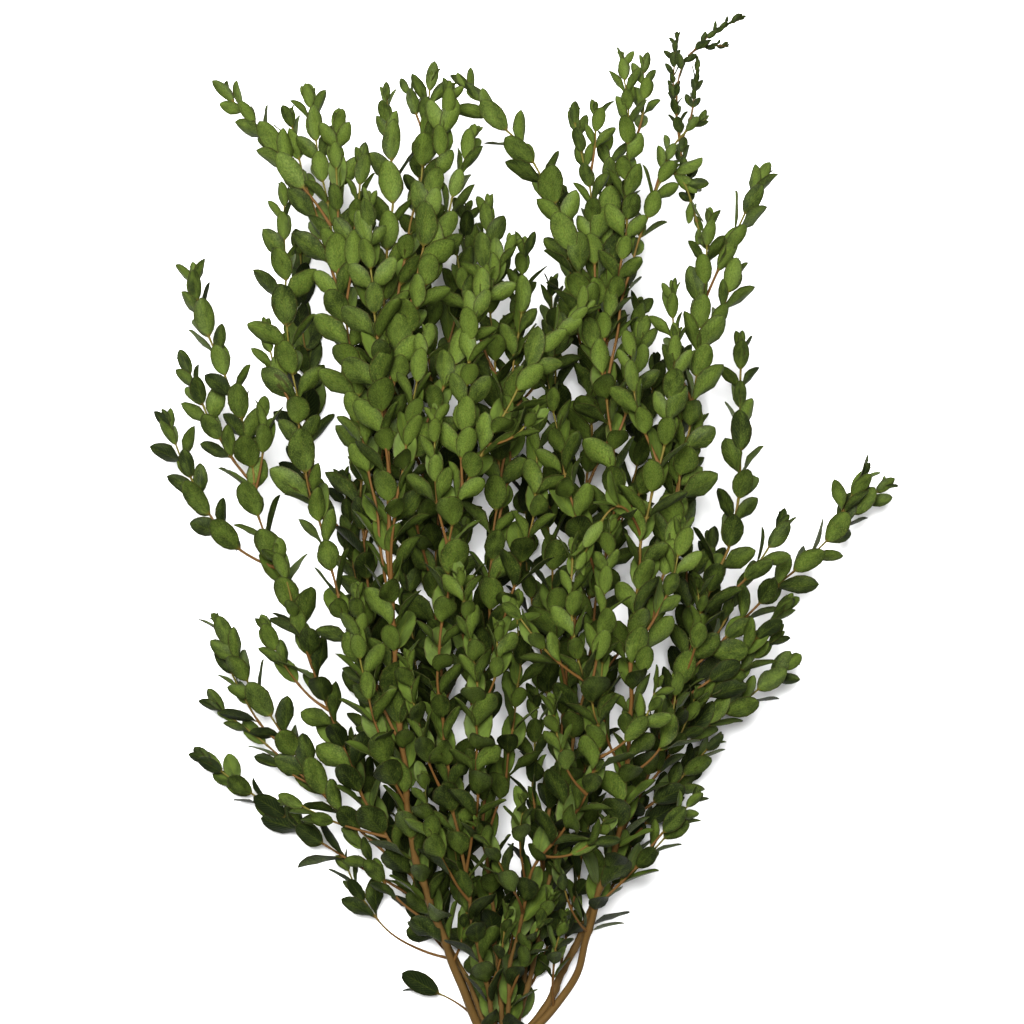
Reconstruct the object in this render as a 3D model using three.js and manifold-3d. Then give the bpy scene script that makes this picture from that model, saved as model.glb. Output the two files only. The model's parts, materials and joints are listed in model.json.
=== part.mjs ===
// A preserved parvifolia eucalyptus: a tied bunch of cut leafy stems, lying on a surface.
// Millimetres. The bunch lies along +Y with its tips at +Y and its cut ends at -Y, +Z is up.
// Each cut stem, with its side shoots and the leaves that grow on them, is one solid.
// Points below are measured from a spot under the bunch, level with the lowest leaves of the crown.

import * as THREE from 'three';
import Module from 'manifold-3d';

// Stems and shoots
const BUTT_Y = -68;
const FAN_Y = -25;
const TIE_X = -6.6;
const STEM_PITCH = 5.15;
const STEM_RADIUS = 3.4;
const STEM_TIP_RADIUS = 1.2;
const SLENDER_TAPER = 0.4;
const STEM_SIDES = 4;
const SHOOT_RADIUS = 1.5;
const SHOOT_TIP_RADIUS = 1.05;
const SHOOT_SIDES = 4;
const FINE_LEAF_SCALE = 0.5;
const FINE_SHOOT = 0.75;
const STEM_STEP = 75;
const SHOOT_STEP = 100;
const BOW_STEP = 22;

// Leaf pairs along a shoot
const FIRST_PAIR = 16;
const LAST_PAIR = 9.5;
const PAIR_STEP = 15;
const TIP_PAIR_STEP = 9.5;
const LEAF_LENGTH = 26.5;
const TIP_LEAF_LENGTH = 16;
const LEAF_WIDTH_SHARE = 0.54;
const TIP_LEAF_WIDTH_SHARE = 0.44;
const LEAF_ANGLE = 32;
const TIP_LEAF_ANGLE = 18;
const YOUNG_REACH = 90;
const LEAFLESS_BELOW = -16;
const KEEP_ONE_IN = 24;

// Small differences from leaf to leaf: degrees, then shares of the length and of the width
const TURN_SPREAD = 46;
const ANGLE_SPREAD = 28;
const TWIST_SPREAD = 22;
const LENGTH_LEAST = 0.8;
const LENGTH_SPREAD = 0.36;
const WIDTH_LEAST = 0.88;
const WIDTH_SPREAD = 0.26;

// Ways to lie that a leaf tries in turn when its place is taken, in degrees round its twig
const SWINGS = [0, 24, -24, 48, -48, 75];
const CLOSER_EACH_TRY = 4;
const TWIG_NUMBERS = 64;

// Turn towards the light of the leaves that would stand edge up
const LIGHT_TURN = 66;
const LIGHT_LEAST = 0.12;
const LIGHT_OFFSET = -0.25;

// Blade form
const FOLD_RISE = 0.13;
const BACKWARD_CURVE = 0.07;
const BLADE_ABOVE = 0.35;
const BLADE_BELOW = 0.85;
const OUTLINE = [[0.18, 0.72], [0.5, 1.0], [0.82, 0.68]];
const SMALL_OUTLINE = [[0.32, 0.9], [0.7, 0.86]];
const SMALL_LEAF = 24;
const BLADE_CROWN = 0.48;
const ROOT_DEPTH = 0.23;
const TWIST_DONE = 0.45;

// Leaves that reach the surface
const SURFACE_ROOM = 0.9;
const STEEPEST_PRESSED = 0.8;
const PRESSED_THINNEST = 0.05;
const EDGE_SHARES = [0.25, 0.5, 0.8, 1];

// Room kept between leaves, and between leaves and stems
const OTHER_STEM_ROOM = 5.6;
const SAME_STEM_ROOM = 5;
const TWIG_ROOM = 3.0;
const SAME_TWIG_ROOM = 1.2;
const CELL = 8;
const SHORTEST_EDGE = 0.02;
const TWIG_SAMPLE_STEP = 3;
const MIDRIB_SAMPLES = [0.3, 0.5, 0.7, 0.88, 1];
const SIDE_SAMPLES = [0.3, 0.52, 0.74];
const SIDE_SAMPLE_WIDTH = 0.68;

// The band round the stems, which lie in it in three rows, a hair's breadth clear of it
const BAND_Y = -32;
const BAND_WIDTH = 7;
const BAND_THICKNESS = 1.5;
const BAND_CORNER = 0.8;
const BAND_ROOM = 0.3;
const BAND_ARC_STEPS = 3;
const STEM_HALF = STEM_RADIUS * Math.SQRT1_2;
const BAND_HALF_X = 1.5 * STEM_PITCH + STEM_HALF + BAND_ROOM;
const BAND_TOP = 2 * STEM_PITCH + 2 * (STEM_HALF + BAND_ROOM);

const UP = new THREE.Vector3(0, 0, 1);
const vec = (list) => new THREE.Vector3(list[0], list[1], list[2]);
const mix = (a, b, t) => a + (b - a) * t;
const radians = (degrees) => degrees * Math.PI / 180;

// A side shoot: which earlier shoot it leaves (0 is the stem itself), the y of the fork,
// the point of its tip, how far it bows from a straight line, the size of its leaves,
// and how much of its foot is bare.
const shoot = (parent, forkY, tip, bow = [0, 0, 0], leafScale = 1, bareFoot = 0) => (
  { parent, forkY, tip: vec(tip), bow: vec(bow), leafScale, bareFoot }
);

const STEMS = [
  {
    name: 'leafy_stem_left_front',
    tied: { column: -1.5, row: 2 },
    leaflessBelow: 40,
    path: [
      [-27, 4, 24], [-41, 45, 40], [-55, 82, 56], [-62, 125, 74], [-67, 175, 92], [-71, 235, 106],
      [-73, 300, 116], [-75, 360, 120], [-77, 410, 118], [-74, 460, 112], [-71, 500, 106],
      [-74, 535, 100], [-75, 558, 98],
    ],
    shoots: [
      shoot(0, 308, [0, 468, 124], [0, 0, 8]),
      shoot(0, 365, [-22, 533, 118], [0, 0, 6]),
      shoot(0, 400, [-48, 567, 106], [4, 0, 0]),
      shoot(3, 530, [-64, 561, 98]),
      shoot(0, 232, [-122, 558, 90], [1, 0, 12]),
      shoot(5, 425, [-90, 520, 106], [2, 0, 6]),
      shoot(5, 478, [-174, 561, 72], [1, 3, 4]),
      shoot(0, 330, [-84, 492, 134], [-2, 0, 8]),
      shoot(0, 168, [-137, 500, 80], [-19, -12, 14]),
      shoot(9, 365, [-147, 420, 80], [-4, 0, 4]),
      shoot(0, 268, [-48, 412, 142], [-4, 0, 6]),
      shoot(0, 130, [-92, 262, 116], [-6, -8, 10]),
      shoot(5, 440, [-104, 541, 100], [0, 0, 4]),
      shoot(0, 372, [-37, 559, 116], [4, 0, 6]),
      shoot(5, 440, [-134, 547, 84], [-2, 2, 0]),
      shoot(0, 30, [-27, 86, 50], [4, 0, 4], 0.8),
    ],
  },
  {
    name: 'leafy_stem_centre_left_front',
    tied: { column: -0.5, row: 2 },
    slender: true,
    path: [
      [-14, 5, 28], [-21, 45, 48], [-28, 85, 66], [-35, 130, 84], [-42, 180, 100], [-43, 224, 114],
      [-39, 260, 124], [-36, 293, 132], [-28, 322, 138], [-14, 349, 143], [0, 372, 145],
      [14, 397, 144], [30, 415, 140], [47, 428, 134],
    ],
    shoots: [
      shoot(0, 88, [-31, 272, 136], [9, -4, 10]),
      shoot(0, 285, [-44, 366, 146], [-4, 0, 4]),
      shoot(1, 190, [-10, 240, 132], [6, -4, 4]),
      shoot(0, 130, [-60, 222, 118], [-6, -4, 4]),
      shoot(0, 345, [12, 366, 154], [4, -4, 4]),
      shoot(0, 318, [-14, 448, 136], [-4, 8, 4]),
      shoot(0, 70, [-52, 150, 92], [-6, -6, 4]),
      shoot(0, 12, [-4, 66, 52], [3, 0, 4], 0.8),
    ],
  },
  {
    name: 'leafy_stem_centre_front',
    tied: { column: 0.5, row: 2 },
    slender: true,
    path: [
      [0, 30, 34], [6, 62, 50], [12, 88, 62], [32, 117, 82], [45, 142, 98], [53, 168, 110],
      [48, 192, 120], [40, 215, 127], [36, 240, 132], [35, 262, 135], [36, 288, 136],
    ],
    shoots: [
      shoot(0, 208, [0, 252, 134], [-2, -4, 6]),
      shoot(0, 160, [86, 208, 116], [6, -6, 4]),
      shoot(0, 62, [-22, 122, 92], [4, -4, 8]),
      shoot(0, 140, [24, 196, 116], [-4, -6, 4]),
      shoot(0, 98, [56, 124, 86], [4, -8, 6]),
      shoot(0, 200, [58, 300, 136], [2, 0, 4]),
      shoot(0, 78, [8, 136, 96], [-4, -4, 4]),
      shoot(0, 8, [24, 74, 60], [0, 0, 4], 0.8),
    ],
  },
  {
    name: 'leafy_stem_right_front',
    tied: { column: 1.5, row: 2 },
    leaflessBelow: 46,
    path: [
      [25, 0, 21], [39, 23, 28], [49, 56, 42], [55, 82, 56], [64, 110, 70], [68, 135, 82],
      [69, 165, 94], [71, 200, 104], [73, 236, 113], [74, 266, 120], [77, 290, 126], [83, 318, 129],
      [90, 350, 128], [95, 382, 124], [97, 414, 119],
    ],
    shoots: [
      shoot(0, 292, [40, 276, 140], [2, 26, 12]),
      shoot(0, 228, [100, 300, 116], [6, -6, 4]),
      shoot(0, 150, [98, 206, 96], [8, -8, 4]),
      shoot(0, 66, [104, 123, 52], [1, -1, 6]),
      shoot(4, 92, [113, 134, 60], [-2, 1, 4]),
      shoot(0, 50, [28, 96, 64], [-2, -6, 4]),
      shoot(0, 150, [56, 236, 122], [-8, -4, 2]),
      shoot(0, 186, [117, 484, 104], [8, 0, 6]),
      shoot(8, 425, [152, 511, 88], [-2, 0, 2]),
      shoot(8, 402, [133, 456, 96], [3, -4, 2]),
      shoot(8, 300, [114, 362, 98], [-4, -2, 0]),
      shoot(8, 372, [98, 441, 108], [-6, -2, 4]),
      shoot(0, 335, [72, 408, 128], [-6, 0, 2]),
      shoot(0, 4, [34, 62, 52], [-4, 0, 4], 0.8),
    ],
  },
  {
    name: 'leafy_stem_left_middle',
    tied: { column: -1, row: 1 },
    slender: true,
    path: [
      [-24, 8, 16], [-41, 45, 25], [-63, 85, 35], [-86, 125, 44], [-104, 165, 52], [-116, 200, 58],
      [-125, 228, 62], [-134, 248, 64], [-140, 270, 66], [-148, 290, 67], [-155, 312, 68],
      [-159, 340, 68], [-165, 368, 66], [-176, 395, 62], [-185, 415, 58], [-192, 437, 54],
      [-192, 454, 52],
    ],
    shoots: [
      shoot(0, 322, [-200, 399, 44], [0, -8, 2]),
      shoot(0, 272, [-211, 366, 34], [-6, -17, 2]),
      shoot(0, 318, [-151, 372, 76], [3, 0, 2]),
      shoot(0, 84, [-181, 241, 34], [-4, -14, 4]),
      shoot(4, 160, [-176, 216, 26], [-2, -8, 2]),
      shoot(0, 66, [-194, 157, 4], [-2, -3, 2], 1, 44),
      shoot(4, 138, [-150, 156, 30], [-2, 0, 2]),
      shoot(0, 186, [-150, 240, 46], [-4, -6, 2]),
      shoot(0, 108, [-135, 132, 40], [-4, -2, 4]),
      shoot(0, 212, [-141, 284, 78], [0, -4, 4]),
      shoot(0, 30, [-104, 94, 18], [-9, -12, 0], 1, 56),
      shoot(0, 50, [-98, 118, 34], [-6, -6, 4]),
      shoot(0, -14, [-60, 12, 12], [2, 5, 0], 1.65),
      shoot(4, 130, [-184, 189, 22], [-2, 3, 2]),
    ],
  },
  {
    name: 'leafy_stem_centre_left_middle',
    tied: { column: 0, row: 1 },
    slender: true,
    path: [
      [-7, 10, 19], [-12, 60, 36], [-17, 120, 54], [-18, 180, 70], [-15, 240, 82], [-10, 300, 88],
      [-8, 350, 90], [-11, 400, 90], [-15, 450, 88], [-14, 494, 84],
    ],
    shoots: [
      shoot(0, 285, [2, 450, 74], [6, 0, -4]),
      shoot(0, 325, [7, 468, 88], [2, 0, 4]),
      shoot(0, 360, [38, 428, 74], [2, -6, 0]),
      shoot(0, 215, [14, 372, 104], [11, 0, 6]),
      shoot(0, 165, [-26, 300, 102], [-8, 0, 4]),
      shoot(0, 105, [2, 256, 86], [9, 0, 4]),
      shoot(0, 390, [-34, 470, 92], [-4, 0, 0]),
      shoot(0, 40, [-36, 118, 44], [-6, -8, 0]),
      shoot(0, 8, [-1, 80, 32], [4, 0, 0], 0.8),
    ],
  },
  {
    name: 'leafy_stem_centre_middle',
    tied: { column: 1, row: 1 },
    slender: true,
    path: [
      [9, 10, 17], [18, 55, 31], [29, 110, 50], [38, 170, 68], [48, 230, 82], [57, 290, 94],
      [63, 326, 102], [61, 344, 104], [57, 368, 106], [53, 389, 108], [48, 410, 110], [42, 440, 112],
      [35, 463, 112], [27, 486, 110], [17, 509, 106], [6, 526, 102], [-7, 539, 98], [-18, 554, 94],
      [-31, 565, 90],
    ],
    shoots: [
      shoot(0, 402, [36, 547, 96], [6, 0, -6], 0.85),
      shoot(1, 505, [49, 550, 102], [2, 0, 2], 0.85),
      shoot(0, 385, [57, 533, 80], [2, 0, -8]),
      shoot(0, 396, [65, 579, 106], [10, 0, 4], 0.8),
      shoot(4, 520, [78, 576, 100], [4, -4, -2], 0.75),
      shoot(0, 380, [113, 470, 92], [4, 78, 6], 0.8),
      shoot(6, 480, [101, 597, 62], [-7, 6, 0], 0.42),
      shoot(7, 528, [140, 607, 58], [-16, 10, 2], 0.4),
      shoot(8, 580, [131, 591, 54], [-4, 2, 0], 0.36),
      shoot(7, 530, [112, 581, 70], [2, -6, 2], 0.4),
      shoot(6, 488, [117, 544, 78], [-4, 8, -4], 0.55),
      shoot(0, 300, [90, 356, 112], [4, -6, 2]),
      shoot(0, 262, [20, 396, 116], [-4, 0, 4]),
      shoot(0, 196, [84, 286, 88], [8, -6, -2]),
      shoot(0, 346, [77, 419, 96], [3, -2, 0]),
    ],
  },
  {
    name: 'leafy_stem_left_back',
    tied: { column: -1.5, row: 0 },
    slender: true,
    path: [
      [-27, 6, 7], [-43, 50, 11], [-58, 100, 16], [-73, 150, 22], [-84, 210, 30], [-90, 270, 36],
      [-92, 330, 40], [-92, 390, 43], [-92, 440, 46], [-92, 482, 50],
    ],
    shoots: [
      shoot(0, 118, [-96, 232, 12], [-4, -4, -2]),
      shoot(0, 170, [-104, 292, 2.6], [6, 0, 0]),
      shoot(0, 284, [-135, 344, 2.6], [-4, -4, 0]),
      shoot(0, 290, [-76, 424, 34], [4, -6, -4]),
      shoot(3, 326, [-132, 476, 2.8]),
      shoot(0, 76, [-98, 166, 10], [-4, -4, 2]),
      shoot(0, 210, [-104, 330, 20], [-2, 0, -4]),
      shoot(0, 30, [-66, 84, 14], [-4, -4, 0], 0.8),
    ],
  },
  {
    name: 'leafy_stem_centre_left_back',
    tied: { column: -0.5, row: 0 },
    slender: true,
    path: [
      [-13, 10, 8], [-23, 60, 14], [-34, 120, 22], [-42, 180, 30], [-46, 250, 38], [-47, 320, 44],
      [-50, 390, 50], [-53, 440, 56], [-55, 490, 62], [-57, 528, 66],
    ],
    shoots: [
      shoot(0, 140, [-68, 296, 14], [-6, -6, -2]),
      shoot(0, 236, [-24, 404, 20], [4, -6, -4]),
      shoot(0, 312, [-84, 462, 60], [-6, -4, 0]),
      shoot(0, 372, [-28, 492, 56], [4, -4, -2]),
      shoot(0, 56, [-48, 156, 8], [-4, -4, 0]),
      shoot(0, 190, [-10, 312, 20], [6, -6, -2]),
      shoot(0, 260, [-66, 392, 78], [-6, -6, 4]),
      shoot(0, 6, [-12, 76, 10], [4, 0, 0], 0.8),
    ],
  },
  {
    name: 'leafy_stem_centre_right_back',
    tied: { column: 0.5, row: 0 },
    slender: true,
    path: [
      [6, 10, 8], [14, 60, 14], [23, 120, 22], [32, 190, 30], [40, 260, 38], [46, 330, 46],
      [50, 390, 54], [54, 440, 60], [60, 480, 64], [62, 516, 66],
    ],
    shoots: [
      shoot(0, 168, [8, 336, 16], [-6, -6, -4]),
      shoot(0, 236, [90, 402, 2.8], [6, -8, -4]),
      shoot(0, 290, [24, 448, 46], [-4, -6, -2]),
      shoot(0, 92, [60, 216, 10], [4, -8, -4]),
      shoot(0, 50, [36, 150, 8], [4, -6, -2]),
      shoot(0, 322, [76, 434, 62], [5, -4, 2]),
      shoot(0, 384, [32, 502, 66], [-4, -2, 0]),
      shoot(0, 200, [25, 340, 58], [-5, -4, 8]),
      shoot(0, 84, [15, 196, 44], [-3, -4, 6]),
      shoot(0, 2, [30, 70, 12], [4, 0, 0], 0.8),
    ],
  },
  {
    name: 'leafy_stem_right_back',
    tied: { column: 1.5, row: 0 },
    path: [
      [21, 0, 8], [36, 32, 14], [54, 76, 25], [70, 118, 38], [88, 162, 50], [99, 195, 58],
      [108, 224, 64], [115, 247, 68], [124, 268, 70], [132, 292, 71], [137, 318, 71], [139, 346, 70],
      [138, 376, 68], [139, 412, 66],
    ],
    shoots: [
      shoot(0, 206, [231, 325, 28], [-2, -1, 4]),
      shoot(1, 290, [217, 333, 38], [-1, -2, 2]),
      shoot(0, 158, [173, 216, 34], [-1, -4, 4]),
      shoot(0, 178, [160, 232, 50], [2, -4, 2]),
      shoot(0, 190, [167, 254, 62], [2, -6, 2]),
      shoot(0, 250, [163, 303, 60], [4, -8, 2]),
      shoot(0, 118, [125, 168, 34], [1, -4, 2]),
      shoot(0, 138, [112, 198, 62], [2, -6, 4]),
      shoot(0, 96, [112, 158, 4], [4, -4, 0]),
      shoot(0, 206, [110, 266, 84], [6, -2, 6]),
      shoot(0, 148, [124, 292, 2.6], [10, -6, -6]),
      shoot(0, 232, [104, 404, 48], [-4, -8, -4]),
      shoot(0, 60, [78, 130, 14], [6, -6, -2]),
      shoot(0, 214, [141, 266, 44], [3, -5, 0]),
      shoot(0, 20, [54, 140, 40], [-2, 0, 0], 0.9),
    ],
  },
];

// Whole-number hash, so that each leaf keeps its own small differences whatever else changes.
function draw(a, b, c) {
  let h = Math.imul(a + 11, 374761393) ^ Math.imul(b + 17, 668265263) ^ Math.imul(c + 23, 1442695041);
  h = Math.imul(h ^ (h >>> 13), 1274126177);
  h = Math.imul(h ^ (h >>> 16), 1103515245);
  return ((h ^ (h >>> 15)) >>> 0) / 4294967296;
}

// A path is a list of points with the distance of each from the start.
function measured(points) {
  const reach = [0];
  for (let i = 1; i < points.length; i += 1) {
    reach.push(reach[i - 1] + points[i].distanceTo(points[i - 1]));
  }
  return { points, reach, length: reach[reach.length - 1] };
}

function alongPath(path, distance) {
  let i = 1;
  while (i < path.reach.length - 1 && path.reach[i] < distance) i += 1;
  const share = (distance - path.reach[i - 1]) / (path.reach[i] - path.reach[i - 1]);
  const point = path.points[i - 1].clone().lerp(path.points[i], share);
  const tangent = path.points[i].clone().sub(path.points[i - 1]).normalize();
  return { point, tangent };
}

function stemPath(stem) {
  const x = TIE_X + stem.tied.column * STEM_PITCH;
  const z = BAND_THICKNESS + BAND_ROOM + STEM_HALF + stem.tied.row * STEM_PITCH;
  const butt = new THREE.Vector3(x, BUTT_Y, z);
  const fan = new THREE.Vector3(x, FAN_Y, z);
  const curve = new THREE.CatmullRomCurve3([fan, ...stem.path.map(vec)], false, 'catmullrom', 0.5);
  return measured([butt, ...curve.getSpacedPoints(Math.round(curve.getLength() / STEM_STEP))]);
}

function shootPath(start, row) {
  const control = start.clone().add(row.tip).multiplyScalar(0.5).addScaledVector(row.bow, 2);
  const curve = new THREE.QuadraticBezierCurve3(start, control, row.tip);
  const steps = Math.round(curve.getLength() / SHOOT_STEP) + Math.round(row.bow.length() / BOW_STEP);
  return measured(curve.getSpacedPoints(Math.max(steps, 1)));
}

// The point of a path that lies level with the fork.
function forkPoint(path, forkY) {
  let best = path.points[0];
  for (let distance = 0; distance < path.length; distance += 1) {
    const { point } = alongPath(path, distance);
    if (Math.abs(point.y - forkY) < Math.abs(best.y - forkY)) best = point;
  }
  return best.clone();
}

// All the twigs of a stem: the stem itself first, then its shoots in order.
function twigsOf(stem, stemIndex) {
  const twigs = [{
    path: stemPath(stem), radius: STEM_RADIUS, tipRadius: STEM_TIP_RADIUS,
    sides: STEM_SIDES, leafScale: 1, bareFoot: 0, stemIndex, index: 0,
    taper: stem.slender ? SLENDER_TAPER : 1,
    leaflessBelow: stem.leaflessBelow ?? LEAFLESS_BELOW,
  }];
  stem.shoots.forEach((row, i) => {
    const start = forkPoint(twigs[row.parent].path, row.forkY);
    const fine = row.leafScale < FINE_LEAF_SCALE ? FINE_SHOOT : 1;
    twigs.push({
      path: shootPath(start, row), radius: SHOOT_RADIUS * fine, tipRadius: SHOOT_TIP_RADIUS * fine,
      sides: SHOOT_SIDES, leafScale: row.leafScale, bareFoot: row.bareFoot,
      taper: 1, stemIndex, index: i + 1,
      leaflessBelow: LEAFLESS_BELOW,
    });
  });
  return twigs;
}

// A slender stem narrows soon above the tie, the others evenly along their length.
function radiusAt(twig, distance) {
  return mix(twig.radius, twig.tipRadius, (distance / twig.path.length) ** twig.taper);
}

// Places along a twig where a pair of leaves grows: pairs stand closer towards the tip.
// A place's growth is 0 at the tip and grows to 1 where the leaves are full-grown.
function pairPlaces(twig) {
  const { length } = twig.path;
  const places = [];
  const last = length - LAST_PAIR * twig.leafScale;
  let distance = last;
  while (distance > Math.max(FIRST_PAIR * twig.leafScale, twig.bareFoot)) {
    const growth = Math.min((last - distance) / YOUNG_REACH, 1);
    const { point } = alongPath(twig.path, distance);
    if (point.y > twig.leaflessBelow) places.push({ distance, growth });
    distance -= mix(TIP_PAIR_STEP, PAIR_STEP, Math.sqrt(growth)) * twig.leafScale;
  }
  return places;
}

// One leaf's frame: its base, the way its midrib runs, its upper side and its width.
function leafFrame(twig, place, pair, side, attempt) {
  const { point, tangent } = alongPath(twig.path, place.distance);
  const seed = twig.stemIndex * TWIG_NUMBERS + twig.index;
  const leaf = pair * 2 + side;
  const across = tangent.clone().cross(UP).normalize();
  const rise = across.clone().cross(tangent);
  const jitter = TURN_SPREAD * (draw(seed, leaf, 1) - 0.5);
  const quarter = (pair + twig.index) % 2;
  const turn = radians(90 * quarter + 180 * side + jitter + SWINGS[attempt]);
  const outward = across.clone().multiplyScalar(Math.cos(turn)).addScaledVector(rise, Math.sin(turn));
  const spread = mix(TIP_LEAF_ANGLE, LEAF_ANGLE, Math.sqrt(place.growth));
  const opening = spread + ANGLE_SPREAD * (draw(seed, leaf, 2) - 0.5) - CLOSER_EACH_TRY * attempt;
  const angle = radians(opening);
  const along = tangent.clone().multiplyScalar(Math.cos(angle)).addScaledVector(outward, Math.sin(angle));
  const flat = tangent.clone().multiplyScalar(Math.sin(angle)).addScaledVector(outward, -Math.cos(angle));
  const twist = radians(twistOf(flat, along, seed, leaf));
  const size = mix(TIP_LEAF_LENGTH, LEAF_LENGTH, Math.sqrt(place.growth)) * twig.leafScale;
  const length = size * (LENGTH_LEAST + LENGTH_SPREAD * draw(seed, leaf, 4));
  const share = mix(TIP_LEAF_WIDTH_SHARE, LEAF_WIDTH_SHARE, place.growth);
  const width = length * share * (WIDTH_LEAST + WIDTH_SPREAD * draw(seed, leaf, 5));
  const radius = radiusAt(twig, place.distance);
  const base = point.addScaledVector(outward, radius * Math.cos(Math.PI / twig.sides) - ROOT_DEPTH);
  const frame = { base, along, upper: flat, twist, length, width };
  restOnSurface(frame);
  return frame;
}

// Leaves that would stand edge up turn part of the way towards the light at their base.
function twistOf(flat, along, seed, leaf) {
  const edgeOn = 1 - Math.abs(flat.z);
  const wide = along.clone().cross(flat);
  const sign = wide.z > 0 ? -1 : 1;
  const eager = draw(seed, leaf, 3);
  const amount = eager > LIGHT_LEAST ? LIGHT_TURN * (eager - LIGHT_OFFSET) : 0;
  return sign * amount * edgeOn + TWIST_SPREAD * (draw(seed, leaf, 6) - 0.5);
}

// A leaf that would dip below the surface lies against it instead.
function restOnSurface(frame) {
  const heights = EDGE_SHARES.flatMap((share) => (
    [bladeSpot(frame, share, 1, 0).z, bladeSpot(frame, share, -1, 0).z]
  ));
  if (Math.min(...heights) > SURFACE_ROOM) return;
  const level = new THREE.Vector3(frame.along.x, frame.along.y, 0).normalize();
  const drop = Math.min(frame.base.z / frame.length, STEEPEST_PRESSED);
  const run = Math.sqrt(1 - drop * drop);
  const sign = frame.upper.z < 0 ? -1 : 1;
  frame.along.copy(level).multiplyScalar(run).setZ(-drop);
  frame.upper.copy(level).multiplyScalar(drop).setZ(run).multiplyScalar(sign);
  frame.twist = 0;
  frame.pressed = true;
}

// A spot on the blade: share of the length, share of the half width, height over the midrib.
// The blade turns about its midrib over its first part, from level with the twig to its full twist.
function bladeSpot(frame, lengthShare, side, lift) {
  const turn = frame.twist * Math.min(lengthShare / TWIST_DONE, 1);
  const upper = frame.upper.clone().applyAxisAngle(frame.along, turn);
  const wide = frame.along.clone().cross(upper);
  const half = frame.width * 0.5 * side;
  const bend = frame.pressed ? 0 : BACKWARD_CURVE * frame.length * lengthShare * lengthShare;
  const rise = frame.pressed ? 0 : FOLD_RISE * frame.width * Math.abs(side);
  const spot = frame.base.clone().addScaledVector(frame.along, frame.length * lengthShare);
  return spot.addScaledVector(wide, half).addScaledVector(upper, rise - bend + lift);
}

// Spots that stand for the blade when room is measured.
function bladeSamples(frame) {
  const spots = [];
  MIDRIB_SAMPLES.forEach((share) => spots.push(bladeSpot(frame, share, 0, 0)));
  SIDE_SAMPLES.forEach((share) => {
    spots.push(bladeSpot(frame, share, SIDE_SAMPLE_WIDTH, 0));
    spots.push(bladeSpot(frame, share, -SIDE_SAMPLE_WIDTH, 0));
  });
  return spots;
}

// Everything placed so far, sorted into cells so that near neighbours are found quickly.
class Neighbours {
  constructor() {
    this.cells = new Map();
  }

  place(point) {
    return [point.x, point.y, point.z].map((value) => Math.floor(value / CELL));
  }

  add(point, radius, twig, kind) {
    const cell = this.place(point).join();
    if (!this.cells.has(cell)) this.cells.set(cell, []);
    const { stemIndex, index } = twig;
    this.cells.get(cell).push({ point, radius, stemIndex, twigIndex: index, kind });
  }

  room(entry, twig) {
    if (entry.stemIndex !== twig.stemIndex) {
      return entry.kind === 'twig' ? entry.radius + TWIG_ROOM : OTHER_STEM_ROOM;
    }
    if (entry.twigIndex === twig.index) return 0;
    return entry.kind === 'twig' ? entry.radius + SAME_TWIG_ROOM : SAME_STEM_ROOM;
  }

  clear(point, twig) {
    const [x, y, z] = this.place(point);
    for (let i = x - 1; i <= x + 1; i += 1) {
      for (let j = y - 1; j <= y + 1; j += 1) {
        for (let k = z - 1; k <= z + 1; k += 1) {
          const near = this.cells.get([i, j, k].join()) ?? [];
          const crowded = near.some((entry) => (
            entry.point.distanceTo(point) < this.room(entry, twig)
          ));
          if (crowded) return false;
        }
      }
    }
    return true;
  }
}

function addTwigSamples(neighbours, twig) {
  const { path } = twig;
  for (let distance = 0; distance <= path.length; distance += TWIG_SAMPLE_STEP) {
    neighbours.add(alongPath(path, distance).point, radiusAt(twig, distance), twig, 'twig');
  }
}

// The first of a leaf's ways to lie that has room, or nothing where there is none.
function placeLeaf(neighbours, twig, place, pair, side) {
  for (let attempt = 0; attempt < SWINGS.length; attempt += 1) {
    const frame = leafFrame(twig, place, pair, side, attempt);
    const samples = bladeSamples(frame);
    if (samples.every((spot) => neighbours.clear(spot, twig))) {
      samples.forEach((spot) => neighbours.add(spot, 0, twig, 'leaf'));
      return frame;
    }
  }
  return null;
}

// Closed solids, built from rings or fans of points
function solidGeometry(points, faces) {
  const geometry = new THREE.BufferGeometry();
  const numbers = points.flatMap((point) => point.toArray());
  geometry.setAttribute('position', new THREE.Float32BufferAttribute(numbers, 3));
  geometry.setIndex(faces.flat());
  return geometry;
}

// A tapered twig with flat ends: a ring of points at each point of its path.
function twigGeometry(twig) {
  const { points: spine, reach } = twig.path;
  const count = spine.length - 1;
  const points = [];
  const faces = [];
  spine.forEach((centre, place) => {
    const before = spine[Math.max(place - 1, 0)];
    const tangent = spine[Math.min(place + 1, count)].clone().sub(before).normalize();
    const across = tangent.clone().cross(UP).normalize();
    const rise = across.clone().cross(tangent);
    const radius = radiusAt(twig, reach[place]);
    for (let k = 0; k < twig.sides; k += 1) {
      const turn = 2 * Math.PI * (k + 0.5) / twig.sides;
      const spot = centre.clone().addScaledVector(across, radius * Math.cos(turn));
      points.push(spot.addScaledVector(rise, radius * Math.sin(turn)));
    }
  });
  const ring = (i, k) => i * twig.sides + (k % twig.sides);
  for (let i = 0; i < count; i += 1) {
    for (let k = 0; k < twig.sides; k += 1) {
      faces.push([ring(i, k), ring(i + 1, k + 1), ring(i, k + 1)]);
      faces.push([ring(i, k), ring(i + 1, k), ring(i + 1, k + 1)]);
    }
  }
  for (let k = 1; k < twig.sides - 1; k += 1) {
    faces.push([ring(0, 0), ring(0, k), ring(0, k + 1)]);
    faces.push([ring(count, 0), ring(count, k + 1), ring(count, k)]);
  }
  return solidGeometry(points, faces);
}

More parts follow.
